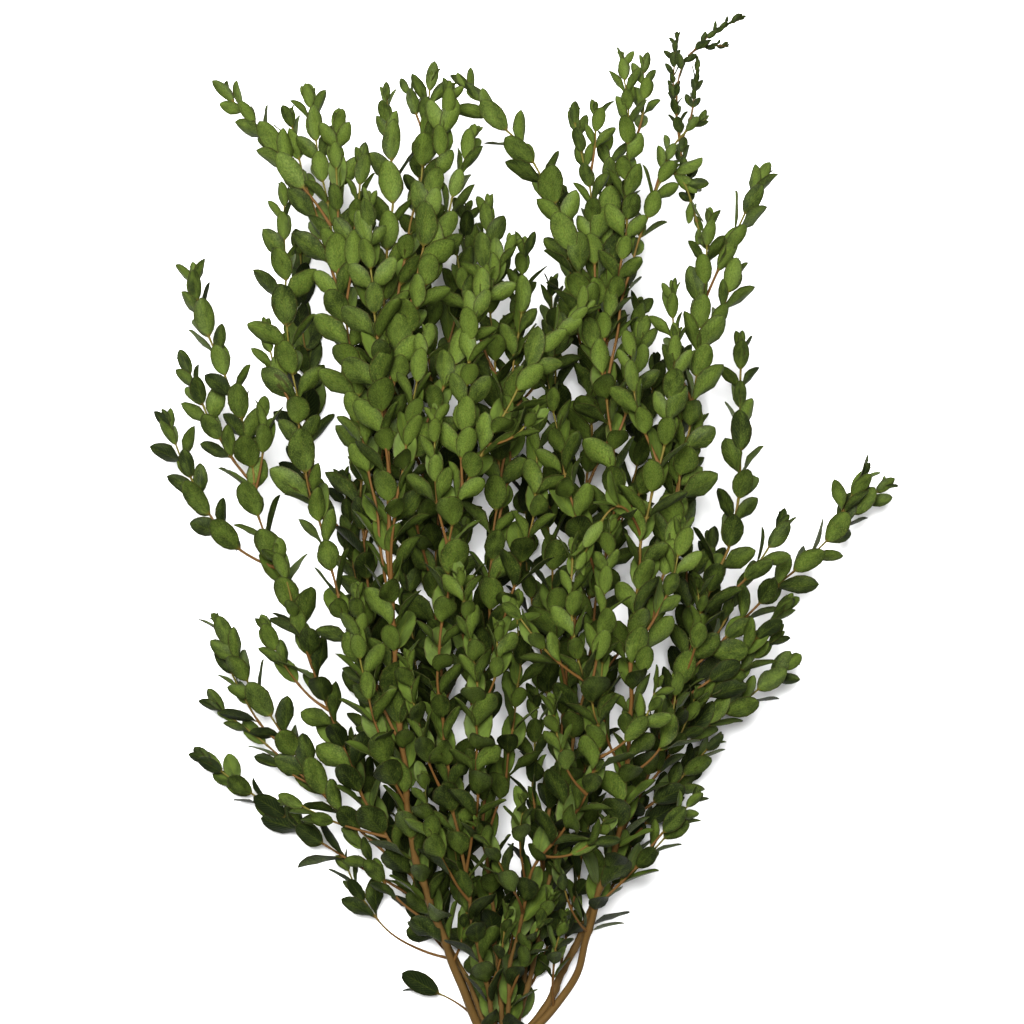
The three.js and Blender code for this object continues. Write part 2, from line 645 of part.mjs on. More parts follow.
// A leaf blade: its outline, with one point above and one below the midrib.
function bladeGeometry(frame) {
  const outline = frame.length < SMALL_LEAF ? SMALL_OUTLINE : OUTLINE;
  const rim = [bladeSpot(frame, 0, 0, 0)];
  outline.forEach(([share, half]) => rim.push(bladeSpot(frame, share, half, 0)));
  rim.push(bladeSpot(frame, 1, 0, 0));
  [...outline].reverse().forEach(([share, half]) => rim.push(bladeSpot(frame, share, -half, 0)));
  if (frame.pressed) rim.forEach((spot) => spot.setZ(Math.max(spot.z, 0)));
  const [up, down] = frame.pressed ? [BLADE_BELOW, BLADE_ABOVE] : [BLADE_ABOVE, BLADE_BELOW];
  const above = bladeSpot(frame, BLADE_CROWN, 0, up);
  const below = bladeSpot(frame, BLADE_CROWN, 0, -down);
  if (frame.pressed) below.setZ(Math.max(below.z, PRESSED_THINNEST));
  const points = [...rim, above, below];
  const faces = rim.flatMap((spot, i) => {
    const next = (i + 1) % rim.length;
    return [[i, next, rim.length], [next, i, rim.length + 1]];
  });
  return solidGeometry(points, faces);
}

const wasm = await Module();
wasm.setup();

function toManifold(geometry) {
  const mesh = new wasm.Mesh({
    numProp: 3,
    vertProperties: new Float32Array(geometry.attributes.position.array),
    triVerts: new Uint32Array(geometry.index.array),
  });
  return new wasm.Manifold(mesh);
}

function fused(geometries) {
  let solids = geometries.map(toManifold);
  while (solids.length > 1) {
    const joined = [];
    for (let i = 0; i < solids.length; i += 2) {
      joined.push(i + 1 < solids.length ? solids[i].add(solids[i + 1]) : solids[i]);
    }
    solids = joined;
  }
  return solids[0].simplify(SHORTEST_EDGE);
}

function toGeometry(manifold) {
  const { vertProperties, triVerts } = manifold.getMesh();
  const geometry = new THREE.BufferGeometry();
  geometry.setAttribute('position', new THREE.BufferAttribute(vertProperties, 3));
  geometry.setIndex(new THREE.BufferAttribute(triVerts, 1));
  return geometry;
}

const neighbours = new Neighbours();
const twigSets = STEMS.map(twigsOf);
twigSets.flat().forEach((twig) => addTwigSamples(neighbours, twig));

const leafMaterial = () => new THREE.MeshStandardMaterial({ color: 0x5c7a2c, roughness: 0.62, metalness: 0 });
const bandMaterial = new THREE.MeshStandardMaterial({ color: 0x9a7b4f, roughness: 0.7, metalness: 0 });

// Every tip keeps its pair of leaves; further down, one leaf in several is kept, at true size.
function isKept(twig, pair, side) {
  return pair === 0 || (pair * 2 + side + twig.index) % KEEP_ONE_IN === 0;
}

function leavesOf(twig) {
  return pairPlaces(twig).flatMap((place, pair) => (
    [0, 1]
      .filter((side) => isKept(twig, pair, side))
      .map((side) => placeLeaf(neighbours, twig, place, pair, side))
      .filter((frame) => frame !== null)
  ));
}

const group = new THREE.Group();
twigSets.forEach((twigs, stemIndex) => {
  const parts = twigs.map(twigGeometry);
  twigs.forEach((twig) => parts.push(...leavesOf(twig).map(bladeGeometry)));
  const mesh = new THREE.Mesh(toGeometry(fused(parts)), leafMaterial());
  mesh.name = STEMS[stemIndex].name;
  group.add(mesh);
});

// The band: a flat loop with rounded corners, one closed strip.
function bandShape(grow) {
  const shape = new THREE.Shape();
  const [x, low, high, r] = [BAND_HALF_X + grow, -grow, BAND_TOP + grow, BAND_CORNER + grow];
  shape.moveTo(-x + r, low);
  shape.lineTo(x - r, low);
  shape.absarc(x - r, low + r, r, -Math.PI / 2, 0, false);
  shape.lineTo(x, high - r);
  shape.absarc(x - r, high - r, r, 0, Math.PI / 2, false);
  shape.lineTo(-x + r, high);
  shape.absarc(-x + r, high - r, r, Math.PI / 2, Math.PI, false);
  shape.lineTo(-x, low + r);
  shape.absarc(-x + r, low + r, r, Math.PI, Math.PI * 1.5, false);
  return shape;
}

const bandOutline = bandShape(BAND_THICKNESS);
bandOutline.holes.push(new THREE.Path(bandShape(0).getPoints(BAND_ARC_STEPS).reverse()));
const bandGeometry = new THREE.ExtrudeGeometry(bandOutline, {
  depth: BAND_WIDTH, bevelEnabled: false, curveSegments: BAND_ARC_STEPS,
});
const band = new THREE.Mesh(bandGeometry, bandMaterial);
band.name = 'tie_band';
band.rotation.x = Math.PI / 2;
band.position.set(TIE_X, BAND_Y + BAND_WIDTH / 2, BAND_THICKNESS);
group.add(band);

const box = new THREE.Box3().setFromObject(group);
group.position.set(-(box.min.x + box.max.x) / 2, -(box.min.y + box.max.y) / 2, 0);

export default group;
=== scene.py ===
"""A preserved parvifolia eucalyptus bunch: fine stems and leaves over the plain model, its band, a stage.

The bunch lies along +Y on a pale floor and is seen from above. The plan of its stems and the rule for
its leaves are in millimetres, in the plan's own place; meshes are in metres, where the frame has them.
"""
import json
import math

import bpy
import numpy as np
from bpy.props import FloatProperty, FloatVectorProperty, IntProperty, PointerProperty
from bpy.types import Operator, Panel, PropertyGroup
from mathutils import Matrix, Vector

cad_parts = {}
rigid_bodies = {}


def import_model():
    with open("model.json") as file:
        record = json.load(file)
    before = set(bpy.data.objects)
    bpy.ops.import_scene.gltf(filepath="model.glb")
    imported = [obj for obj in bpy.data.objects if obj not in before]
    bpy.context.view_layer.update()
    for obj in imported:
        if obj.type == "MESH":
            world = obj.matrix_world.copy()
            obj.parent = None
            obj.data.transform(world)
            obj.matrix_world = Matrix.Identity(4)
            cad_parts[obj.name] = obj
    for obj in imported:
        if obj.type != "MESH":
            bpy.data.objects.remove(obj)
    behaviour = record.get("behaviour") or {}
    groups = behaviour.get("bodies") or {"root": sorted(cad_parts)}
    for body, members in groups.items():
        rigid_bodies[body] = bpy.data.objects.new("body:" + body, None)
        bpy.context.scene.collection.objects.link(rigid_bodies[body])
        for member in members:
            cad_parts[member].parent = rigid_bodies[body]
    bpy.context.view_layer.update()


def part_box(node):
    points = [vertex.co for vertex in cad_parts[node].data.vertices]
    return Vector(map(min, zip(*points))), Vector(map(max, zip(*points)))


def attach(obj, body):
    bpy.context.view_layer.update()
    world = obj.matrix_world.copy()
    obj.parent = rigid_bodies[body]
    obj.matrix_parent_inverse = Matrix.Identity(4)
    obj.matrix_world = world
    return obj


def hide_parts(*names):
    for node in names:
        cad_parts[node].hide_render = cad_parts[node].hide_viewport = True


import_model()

bl_info = {
    "name": "Eucalyptus bunch",
    "version": (1, 0, 0),
    "blender": (4, 5, 0),
    "location": "3D View > Sidebar > Eucalyptus",
    "description": "Adds a preserved eucalyptus bunch: leafy stems, a band and a plain stage",
    "category": "Add Mesh",
}

MM = 0.001

# Stems and shoots of the plain model, which the fine ones follow
BUTT_Y = -68
FAN_Y = -25
TIE_X = -6.6
BAND_Y = -32
STEM_PITCH = 5.15
STEM_RADIUS = 3.4
STEM_TIP_RADIUS = 1.2
SLENDER_TAPER = 0.4
SHOOT_RADIUS = 1.5
SHOOT_TIP_RADIUS = 1.05
PLAIN_SIDES = 4
FINE_LEAF_SCALE = 0.5
FINE_SHOOT = 0.75
STEM_STEP = 75
SHOOT_STEP = 100
BOW_STEP = 22
CURVE_DIVISIONS = 200
TWIG_NUMBERS = 64
BAND_THICKNESS = 1.5
BAND_ROOM = 0.3
STEM_HALF = STEM_RADIUS * math.sqrt(0.5)

# Leaf pairs along a shoot
FIRST_PAIR = 16
LAST_PAIR = 9.5
PAIR_STEP = 15
TIP_PAIR_STEP = 9.5
LEAF_LENGTH = 26.5
TIP_LEAF_LENGTH = 16
LEAF_WIDTH_SHARE = 0.54
TIP_LEAF_WIDTH_SHARE = 0.44
LEAF_ANGLE = 32
TIP_LEAF_ANGLE = 18
YOUNG_REACH = 90
LEAFLESS_BELOW = -16
KEEP_ONE_IN = 24

# Small differences from leaf to leaf: degrees, then shares of the length and of the width
TURN_SPREAD = 46
ANGLE_SPREAD = 28
TWIST_SPREAD = 22
LENGTH_LEAST = 0.8
LENGTH_SPREAD = 0.36
WIDTH_LEAST = 0.88
WIDTH_SPREAD = 0.26

# Ways to lie that a leaf tries in turn when its place is taken, in degrees round its twig
SWINGS = (0, 24, -24, 48, -48, 75)
CLOSER_EACH_TRY = 4

# Turn towards the light of the leaves that would stand edge up
LIGHT_TURN = 66
LIGHT_LEAST = 0.12
LIGHT_OFFSET = -0.25

# Blade form of the plain model
FOLD_RISE = 0.13
BACKWARD_CURVE = 0.07
ROOT_DEPTH = 0.23
TWIST_DONE = 0.45

# Leaves that reach the surface
SURFACE_ROOM = 0.9
STEEPEST_PRESSED = 0.8
EDGE_SHARES = (0.25, 0.5, 0.8, 1)

# Room kept round the leaves of the plain model, and round the ones that are added to them
CELL = 8
TWIG_SAMPLE_STEP = 3
PLAIN_ROOM = {"other": 5.6, "same": 5, "other_twig": 3.0, "same_twig": 1.2}
ADDED_ROOM = {"other": 3.3, "same": 3.0, "other_twig": 1.4, "same_twig": 0.9}
BLADE_SAMPLES = (
    (0.3, 0), (0.5, 0), (0.7, 0), (0.88, 0), (1, 0),
    (0.3, 0.68), (0.3, -0.68), (0.52, 0.68), (0.52, -0.68), (0.74, 0.68), (0.74, -0.68),
)

# Fine twigs: how closely their path is cut, how it wanders, and their form
FINE_STEP = 3.5
WANDER = 0.9
WANDER_FULL = 150
WANDER_WAVES = (1.7, 3.9)
WANDER_CALM = 4
WANDER_DRAW = 40
FEWEST_STEPS = 6
TAPER = 1.7
OUTER_COLUMN = 1
OUTER_BARE_BELOW = 40
FINE_ROOT = 0.25
STEM_SIDES = 12
SHOOT_SIDES = 8
KNOT_HALF = 1.6
KNOT_SWELL = 0.28
FORK_REACH = 4.5
FORK_SWELL = 0.45
LUMP = 0.035
LUMP_REACH = 7
LUMPS_ROUND = 3
END_ROUND = 0.6
TWIG_DRAW = 90

# Age of the bark: 1 is the oldest wood, 0 a green tip
YOUNGER_BY = 0.9
STEM_YOUNG = (0.04, 0.92)
SHOOT_YOUNG = (0.0, 0.9)
SHOOT_OLDEST = (0.62, 0.3)
WISP_AGE = 0.8

# Fine blades: rows along the length, columns across, and their form
STALK_SHARE = 0.055
STALK_HALF = 0.42
TIP_SHARE = 0.94
TIP_HALF = 0.1
WIDEST_EARLY = 0.98
OUTLINE_FULLNESS = 0.52
MIDRIB_HALF = 0.1
BLADE_DRAW = 60
BLADE_DRAWS = 10
PRESSED_CALM = 0.25
FOLD_RANGE = (0.35, 1.5)
CURL_RANGE = (0.2, 1.9)
WAVES = 1.6
HOOK_FROM = 0.6
HOOK_EVEN = 0.45
HOOK_SIZE = 3
EDGE_THIN = 0.4
STALK_FULL = 1.6
RIDGE_ABOVE = 0.35
RIDGE_FADE = 0.75
SMALLEST_STALK = 0.3
SWAY = 0.07
TIP_TURN = 34
SEED_SPREAD = 90
# Leaf tone: OWN_TONE is the share of each leaf's own random tone. The rest is painted shade, darker the
# lower a leaf lies in the bunch, and none at the height below, in millimetres
OWN_TONE = 0.5
DEPTH_SHADE_HEIGHT = 130
WISP_TONE = 0.3
LEAF_ROWS = np.array([0, 0.04, 0.085, 0.16, 0.3, 0.5, 0.69, 0.83, 0.92, 0.975, 1.0])
LEAF_COLUMNS = np.array([-1, -0.55, 0, 0.55, 1])

# Youngest pairs at each tip: distance from the end, and size against the last full pair
TIP_PAIRS = ((5.0, 0.62), (1.8, 0.36))

# Mesh making, band and stage
SHARP_ANGLE = 50
BAND_RING = 72
BAND_SECTION = 10
BAND_SQUARE = 7
BAND_SWAY = 0.12
STRAND_HALF = 0.47
FLOOR_DROP = 0.0003
FLOOR_ROUGHNESS = 0.9
PHOTO_MIDDLE_Y = 307.2
KEY_PLACE = (-0.3, 0.6, 2.25)
KEY_SIZE = 1.0
FRONT_PLACE = (0.12, 0.1, 2.7)
FRONT_SIZE = 0.6

# Marks on a blade, in shares of its half width and length, and how dense each is
SPOT_WIDE = 0.5
CLOUD_SCALE = 2.4
CLOUD_SHADE = 1.05
GRAIN_SCALE = 17
FLECK_SCALE = 30
WORN_SCALE = 6
BLEMISH_SCALE = 1.3
BLEMISH_SEED = 7.0
VEIN_COUNT = 62.0
VEIN_SLANT = 0.36
VEIN_SHOWS = 0.2
VEIN_SHOWS_INSIDE = 0.25
MIDRIB_SHOWS_INSIDE = 0.5
BLEMISH_SHOWS = 0.75
STALK_SHOWS = 0.8
BLADE_RELIEF = 0.0002
BLADE_GLOSS = 0.08

# Marks on bark and rubber
BARK_SEED = 40.0
STREAK_SCALE = 3.2
STREAK_STRETCH = 0.07
PATCH_SCALE = 1.2
PATCH_STRETCH = 0.05
PATCH_AGE = 0.5
WOOD_SCALE = 2.0
BARK_RELIEF = 0.0004
BARK_GLOSS = 0.12
RUBBER_RELIEF = 0.00008
RUBBER_GLOSS = 0.3


def shoot(parent, fork_y, tip, bow=(0, 0, 0), leaf_scale=1, bare_foot=0):
    """A side shoot: which earlier shoot it leaves (0 is the stem), the y of the fork, its tip's point,
    how far it bows from a straight line, the size of its leaves, and how much of its foot is bare."""
    return {
        "parent": parent, "fork_y": fork_y, "tip": np.array(tip, float), "bow": np.array(bow, float),
        "leaf_scale": leaf_scale, "bare_foot": bare_foot,
    }


STEMS = [
    {
        "name": "leafy_stem_left_front",
        "tied": (-1.5, 2),
        "leafless_below": 40,
        "path": [
            (-27, 4, 24), (-41, 45, 40), (-55, 82, 56), (-62, 125, 74), (-67, 175, 92), (-71, 235, 106),
            (-73, 300, 116), (-75, 360, 120), (-77, 410, 118), (-74, 460, 112), (-71, 500, 106),
            (-74, 535, 100), (-75, 558, 98),
        ],
        "shoots": [
            shoot(0, 308, (0, 468, 124), (0, 0, 8)),
            shoot(0, 365, (-22, 533, 118), (0, 0, 6)),
            shoot(0, 400, (-48, 567, 106), (4, 0, 0)),
            shoot(3, 530, (-64, 561, 98)),
            shoot(0, 232, (-122, 558, 90), (1, 0, 12)),
            shoot(5, 425, (-90, 520, 106), (2, 0, 6)),
            shoot(5, 478, (-174, 561, 72), (1, 3, 4)),
            shoot(0, 330, (-84, 492, 134), (-2, 0, 8)),
            shoot(0, 168, (-137, 500, 80), (-19, -12, 14)),
            shoot(9, 365, (-147, 420, 80), (-4, 0, 4)),
            shoot(0, 268, (-48, 412, 142), (-4, 0, 6)),
            shoot(0, 130, (-92, 262, 116), (-6, -8, 10)),
            shoot(5, 440, (-104, 541, 100), (0, 0, 4)),
            shoot(0, 372, (-37, 559, 116), (4, 0, 6)),
            shoot(5, 440, (-134, 547, 84), (-2, 2, 0)),
            shoot(0, 30, (-27, 86, 50), (4, 0, 4), 0.8),
        ],
    },
    {
        "name": "leafy_stem_centre_left_front",
        "tied": (-0.5, 2),
        "slender": True,
        "path": [
            (-14, 5, 28), (-21, 45, 48), (-28, 85, 66), (-35, 130, 84), (-42, 180, 100), (-43, 224, 114),
            (-39, 260, 124), (-36, 293, 132), (-28, 322, 138), (-14, 349, 143), (0, 372, 145),
            (14, 397, 144), (30, 415, 140), (47, 428, 134),
        ],
        "shoots": [
            shoot(0, 88, (-31, 272, 136), (9, -4, 10)),
            shoot(0, 285, (-44, 366, 146), (-4, 0, 4)),
            shoot(1, 190, (-10, 240, 132), (6, -4, 4)),
            shoot(0, 130, (-60, 222, 118), (-6, -4, 4)),
            shoot(0, 345, (12, 366, 154), (4, -4, 4)),
            shoot(0, 318, (-14, 448, 136), (-4, 8, 4)),
            shoot(0, 70, (-52, 150, 92), (-6, -6, 4)),
            shoot(0, 12, (-4, 66, 52), (3, 0, 4), 0.8),
        ],
    },
    {
        "name": "leafy_stem_centre_front",
        "tied": (0.5, 2),
        "slender": True,
        "path": [
            (0, 30, 34), (6, 62, 50), (12, 88, 62), (32, 117, 82), (45, 142, 98), (53, 168, 110),
            (48, 192, 120), (40, 215, 127), (36, 240, 132), (35, 262, 135), (36, 288, 136),
        ],
        "shoots": [
            shoot(0, 208, (0, 252, 134), (-2, -4, 6)),
            shoot(0, 160, (86, 208, 116), (6, -6, 4)),
            shoot(0, 62, (-22, 122, 92), (4, -4, 8)),
            shoot(0, 140, (24, 196, 116), (-4, -6, 4)),
            shoot(0, 98, (56, 124, 86), (4, -8, 6)),
            shoot(0, 200, (58, 300, 136), (2, 0, 4)),
            shoot(0, 78, (8, 136, 96), (-4, -4, 4)),
            shoot(0, 8, (24, 74, 60), (0, 0, 4), 0.8),
        ],
    },
    {
        "name": "leafy_stem_right_front",
        "tied": (1.5, 2),
        "leafless_below": 46,
        "path": [
            (25, 0, 21), (39, 23, 28), (49, 56, 42), (55, 82, 56), (64, 110, 70), (68, 135, 82),
            (69, 165, 94), (71, 200, 104), (73, 236, 113), (74, 266, 120), (77, 290, 126), (83, 318, 129),
            (90, 350, 128), (95, 382, 124), (97, 414, 119),
        ],
        "shoots": [
            shoot(0, 292, (40, 276, 140), (2, 26, 12)),
            shoot(0, 228, (100, 300, 116), (6, -6, 4)),
            shoot(0, 150, (98, 206, 96), (8, -8, 4)),
            shoot(0, 66, (104, 123, 52), (1, -1, 6)),
            shoot(4, 92, (113, 134, 60), (-2, 1, 4)),
            shoot(0, 50, (28, 96, 64), (-2, -6, 4)),
            shoot(0, 150, (56, 236, 122), (-8, -4, 2)),
            shoot(0, 186, (117, 484, 104), (8, 0, 6)),
            shoot(8, 425, (152, 511, 88), (-2, 0, 2)),
            shoot(8, 402, (133, 456, 96), (3, -4, 2)),
            shoot(8, 300, (114, 362, 98), (-4, -2, 0)),
            shoot(8, 372, (98, 441, 108), (-6, -2, 4)),
            shoot(0, 335, (72, 408, 128), (-6, 0, 2)),
            shoot(0, 4, (34, 62, 52), (-4, 0, 4), 0.8),
        ],
    },
    {
        "name": "leafy_stem_left_middle",
        "tied": (-1, 1),
        "slender": True,
        "path": [
            (-24, 8, 16), (-41, 45, 25), (-63, 85, 35), (-86, 125, 44), (-104, 165, 52), (-116, 200, 58),
            (-125, 228, 62), (-134, 248, 64), (-140, 270, 66), (-148, 290, 67), (-155, 312, 68),
            (-159, 340, 68), (-165, 368, 66), (-176, 395, 62), (-185, 415, 58), (-192, 437, 54),
            (-192, 454, 52),
        ],
        "shoots": [
            shoot(0, 322, (-200, 399, 44), (0, -8, 2)),
            shoot(0, 272, (-211, 366, 34), (-6, -17, 2)),
            shoot(0, 318, (-151, 372, 76), (3, 0, 2)),
            shoot(0, 84, (-181, 241, 34), (-4, -14, 4)),
            shoot(4, 160, (-176, 216, 26), (-2, -8, 2)),
            shoot(0, 66, (-194, 157, 4), (-2, -3, 2), 1, 44),
            shoot(4, 138, (-150, 156, 30), (-2, 0, 2)),
            shoot(0, 186, (-150, 240, 46), (-4, -6, 2)),
            shoot(0, 108, (-135, 132, 40), (-4, -2, 4)),
            shoot(0, 212, (-141, 284, 78), (0, -4, 4)),
            shoot(0, 30, (-104, 94, 18), (-9, -12, 0), 1, 56),
            shoot(0, 50, (-98, 118, 34), (-6, -6, 4)),
            shoot(0, -14, (-60, 12, 12), (2, 5, 0), 1.65),
            shoot(4, 130, (-184, 189, 22), (-2, 3, 2)),
        ],
    },
    {
        "name": "leafy_stem_centre_left_middle",
        "tied": (0, 1),
        "slender": True,
        "path": [
            (-7, 10, 19), (-12, 60, 36), (-17, 120, 54), (-18, 180, 70), (-15, 240, 82), (-10, 300, 88),
            (-8, 350, 90), (-11, 400, 90), (-15, 450, 88), (-14, 494, 84),
        ],
        "shoots": [
            shoot(0, 285, (2, 450, 74), (6, 0, -4)),
            shoot(0, 325, (7, 468, 88), (2, 0, 4)),
            shoot(0, 360, (38, 428, 74), (2, -6, 0)),
            shoot(0, 215, (14, 372, 104), (11, 0, 6)),
            shoot(0, 165, (-26, 300, 102), (-8, 0, 4)),
            shoot(0, 105, (2, 256, 86), (9, 0, 4)),
            shoot(0, 390, (-34, 470, 92), (-4, 0, 0)),
            shoot(0, 40, (-36, 118, 44), (-6, -8, 0)),
            shoot(0, 8, (-1, 80, 32), (4, 0, 0), 0.8),
        ],
    },
    {
        "name": "leafy_stem_centre_middle",
        "tied": (1, 1),
        "slender": True,
        "path": [
            (9, 10, 17), (18, 55, 31), (29, 110, 50), (38, 170, 68), (48, 230, 82), (57, 290, 94),
            (63, 326, 102), (61, 344, 104), (57, 368, 106), (53, 389, 108), (48, 410, 110), (42, 440, 112),
            (35, 463, 112), (27, 486, 110), (17, 509, 106), (6, 526, 102), (-7, 539, 98), (-18, 554, 94),
            (-31, 565, 90),
        ],
        "shoots": [
            shoot(0, 402, (36, 547, 96), (6, 0, -6), 0.85),
            shoot(1, 505, (49, 550, 102), (2, 0, 2), 0.85),
            shoot(0, 385, (57, 533, 80), (2, 0, -8)),
            shoot(0, 396, (65, 579, 106), (10, 0, 4), 0.8),
            shoot(4, 520, (78, 576, 100), (4, -4, -2), 0.75),
            shoot(0, 380, (113, 470, 92), (4, 78, 6), 0.8),
            shoot(6, 480, (101, 597, 62), (-7, 6, 0), 0.42),
            shoot(7, 528, (140, 607, 58), (-16, 10, 2), 0.4),
            shoot(8, 580, (131, 591, 54), (-4, 2, 0), 0.36),
            shoot(7, 530, (112, 581, 70), (2, -6, 2), 0.4),
            shoot(6, 488, (117, 544, 78), (-4, 8, -4), 0.55),
            shoot(0, 300, (90, 356, 112), (4, -6, 2)),
            shoot(0, 262, (20, 396, 116), (-4, 0, 4)),
            shoot(0, 196, (84, 286, 88), (8, -6, -2)),
            shoot(0, 346, (77, 419, 96), (3, -2, 0)),
        ],
    },
    {
        "name": "leafy_stem_left_back",
        "tied": (-1.5, 0),
        "slender": True,
        "path": [
            (-27, 6, 7), (-43, 50, 11), (-58, 100, 16), (-73, 150, 22), (-84, 210, 30), (-90, 270, 36),
            (-92, 330, 40), (-92, 390, 43), (-92, 440, 46), (-92, 482, 50),
        ],
        "shoots": [
            shoot(0, 118, (-96, 232, 12), (-4, -4, -2)),
            shoot(0, 170, (-104, 292, 2.6), (6, 0, 0)),
            shoot(0, 284, (-135, 344, 2.6), (-4, -4, 0)),
            shoot(0, 290, (-76, 424, 34), (4, -6, -4)),
            shoot(3, 326, (-132, 476, 2.8)),
            shoot(0, 76, (-98, 166, 10), (-4, -4, 2)),
            shoot(0, 210, (-104, 330, 20), (-2, 0, -4)),
            shoot(0, 30, (-66, 84, 14), (-4, -4, 0), 0.8),
        ],
    },
    {
        "name": "leafy_stem_centre_left_back",
        "tied": (-0.5, 0),
        "slender": True,
        "path": [
            (-13, 10, 8), (-23, 60, 14), (-34, 120, 22), (-42, 180, 30), (-46, 250, 38), (-47, 320, 44),
            (-50, 390, 50), (-53, 440, 56), (-55, 490, 62), (-57, 528, 66),
        ],
        "shoots": [
            shoot(0, 140, (-68, 296, 14), (-6, -6, -2)),
            shoot(0, 236, (-24, 404, 20), (4, -6, -4)),
            shoot(0, 312, (-84, 462, 60), (-6, -4, 0)),
            shoot(0, 372, (-28, 492, 56), (4, -4, -2)),
            shoot(0, 56, (-48, 156, 8), (-4, -4, 0)),
            shoot(0, 190, (-10, 312, 20), (6, -6, -2)),
            shoot(0, 260, (-66, 392, 78), (-6, -6, 4)),
            shoot(0, 6, (-12, 76, 10), (4, 0, 0), 0.8),
        ],
    },
    {
        "name": "leafy_stem_centre_right_back",
        "tied": (0.5, 0),
        "slender": True,
        "path": [
            (6, 10, 8), (14, 60, 14), (23, 120, 22), (32, 190, 30), (40, 260, 38), (46, 330, 46),
            (50, 390, 54), (54, 440, 60), (60, 480, 64), (62, 516, 66),
        ],
        "shoots": [
            shoot(0, 168, (8, 336, 16), (-6, -6, -4)),
            shoot(0, 236, (90, 402, 2.8), (6, -8, -4)),
            shoot(0, 290, (24, 448, 46), (-4, -6, -2)),
            shoot(0, 92, (60, 216, 10), (4, -8, -4)),
            shoot(0, 50, (36, 150, 8), (4, -6, -2)),
            shoot(0, 322, (76, 434, 62), (5, -4, 2)),
            shoot(0, 384, (32, 502, 66), (-4, -2, 0)),
            shoot(0, 200, (25, 340, 58), (-5, -4, 8)),
            shoot(0, 84, (15, 196, 44), (-3, -4, 6)),
            shoot(0, 2, (30, 70, 12), (4, 0, 0), 0.8),
        ],
    },
    {
        "name": "leafy_stem_right_back",
        "tied": (1.5, 0),
        "path": [
            (21, 0, 8), (36, 32, 14), (54, 76, 25), (70, 118, 38), (88, 162, 50), (99, 195, 58),
            (108, 224, 64), (115, 247, 68), (124, 268, 70), (132, 292, 71), (137, 318, 71), (139, 346, 70),
            (138, 376, 68), (139, 412, 66),
        ],
        "shoots": [
            shoot(0, 206, (231, 325, 28), (-2, -1, 4)),
            shoot(1, 290, (217, 333, 38), (-1, -2, 2)),
            shoot(0, 158, (173, 216, 34), (-1, -4, 4)),
            shoot(0, 178, (160, 232, 50), (2, -4, 2)),
            shoot(0, 190, (167, 254, 62), (2, -6, 2)),
            shoot(0, 250, (163, 303, 60), (4, -8, 2)),
            shoot(0, 118, (125, 168, 34), (1, -4, 2)),
            shoot(0, 138, (112, 198, 62), (2, -6, 4)),
            shoot(0, 96, (112, 158, 4), (4, -4, 0)),
            shoot(0, 206, (110, 266, 84), (6, -2, 6)),
            shoot(0, 148, (124, 292, 2.6), (10, -6, -6)),
            shoot(0, 232, (104, 404, 48), (-4, -8, -4)),
            shoot(0, 60, (78, 130, 14), (6, -6, -2)),
            shoot(0, 214, (141, 266, 44), (3, -5, 0)),
            shoot(0, 20, (54, 140, 40), (-2, 0, 0), 0.9),
        ],
    },
]


def draw(a, b, c):
    """A number from 0 to 1 that belongs to three whole numbers, so each leaf keeps its own differences."""
    mask = 0xFFFFFFFF
    h = ((a + 11) * 374761393 ^ (b + 17) * 668265263 ^ (c + 23) * 1442695041) & mask
    h = (h ^ h >> 13) * 1274126177 & mask
    h = (h ^ h >> 16) * 1103515245 & mask
    return (h ^ h >> 15) / 4294967296


def mix(a, b, t):
    return a + (b - a) * t


def unit(v):
    return v / math.sqrt(v @ v)


def cross(a, b):
    return np.array([a[1] * b[2] - a[2] * b[1], a[2] * b[0] - a[0] * b[2], a[0] * b[1] - a[1] * b[0]])


def smooth(low, high, x):
    t = np.clip((x - low) / (high - low), 0, 1)
    return t * t * (3 - 2 * t)


class Path:
    """A line through points, with the distance of each from the start."""

    def __init__(self, points):
        self.points = np.array(points, float)
        steps = np.linalg.norm(np.diff(self.points, axis=0), axis=1)
        self.reach = np.concatenate([[0.0], np.cumsum(steps)])
        self.length = self.reach[-1]

    def at(self, distance):
        return np.array([np.interp(distance, self.reach, self.points[:, k]) for k in range(3)])

    def tangent(self, distance):
        i = int(np.searchsorted(self.reach[1:-1], distance)) + 1
        return unit(self.points[i] - self.points[i - 1])


class Curve:
    """A smooth curve, given by a function of t from 0 to 1, that can be cut into equal steps."""

    def __init__(self, place):
        self.place = place
        t = np.linspace(0, 1, CURVE_DIVISIONS + 1)
        steps = np.linalg.norm(np.diff(place(t), axis=0), axis=1)
        self.reach = np.concatenate([[0.0], np.cumsum(steps)])
        self.length = self.reach[-1]
        self.t = t

    def spaced(self, steps):
        wanted = np.linspace(0, self.length, steps + 1)
        return self.place(np.interp(wanted, self.reach, self.t))


def through(points):
    """A curve through points, whose direction at each is that from the one before to the one after."""
    points = np.array(points, float)
    first = 2 * points[0] - points[1]
    last = 2 * points[-1] - points[-2]
    knots = np.vstack([first, points, last])

    def place(t):
        whole = np.minimum((t * (len(points) - 1)).astype(int), len(points) - 2)
        w = (t * (len(points) - 1) - whole)[:, None]
        p0, p1, p2, p3 = (knots[whole + k] for k in range(4))
        start, end = (p2 - p0) / 2, (p3 - p1) / 2
        square, cube = 3 * (p2 - p1) - 2 * start - end, 2 * (p1 - p2) + start + end
        return p1 + start * w + square * w**2 + cube * w**3

    return Curve(place)


def bowed(start, row):
    """A curve from start to a shoot's tip."""
    control = (start + row["tip"]) / 2 + 2 * row["bow"]

    def place(t):
        t = t[:, None]
        return (1 - t) ** 2 * start + 2 * (1 - t) * t * control + t**2 * row["tip"]

    return Curve(place)


def fine_steps(curve):
    return max(int(curve.length / FINE_STEP), FEWEST_STEPS)


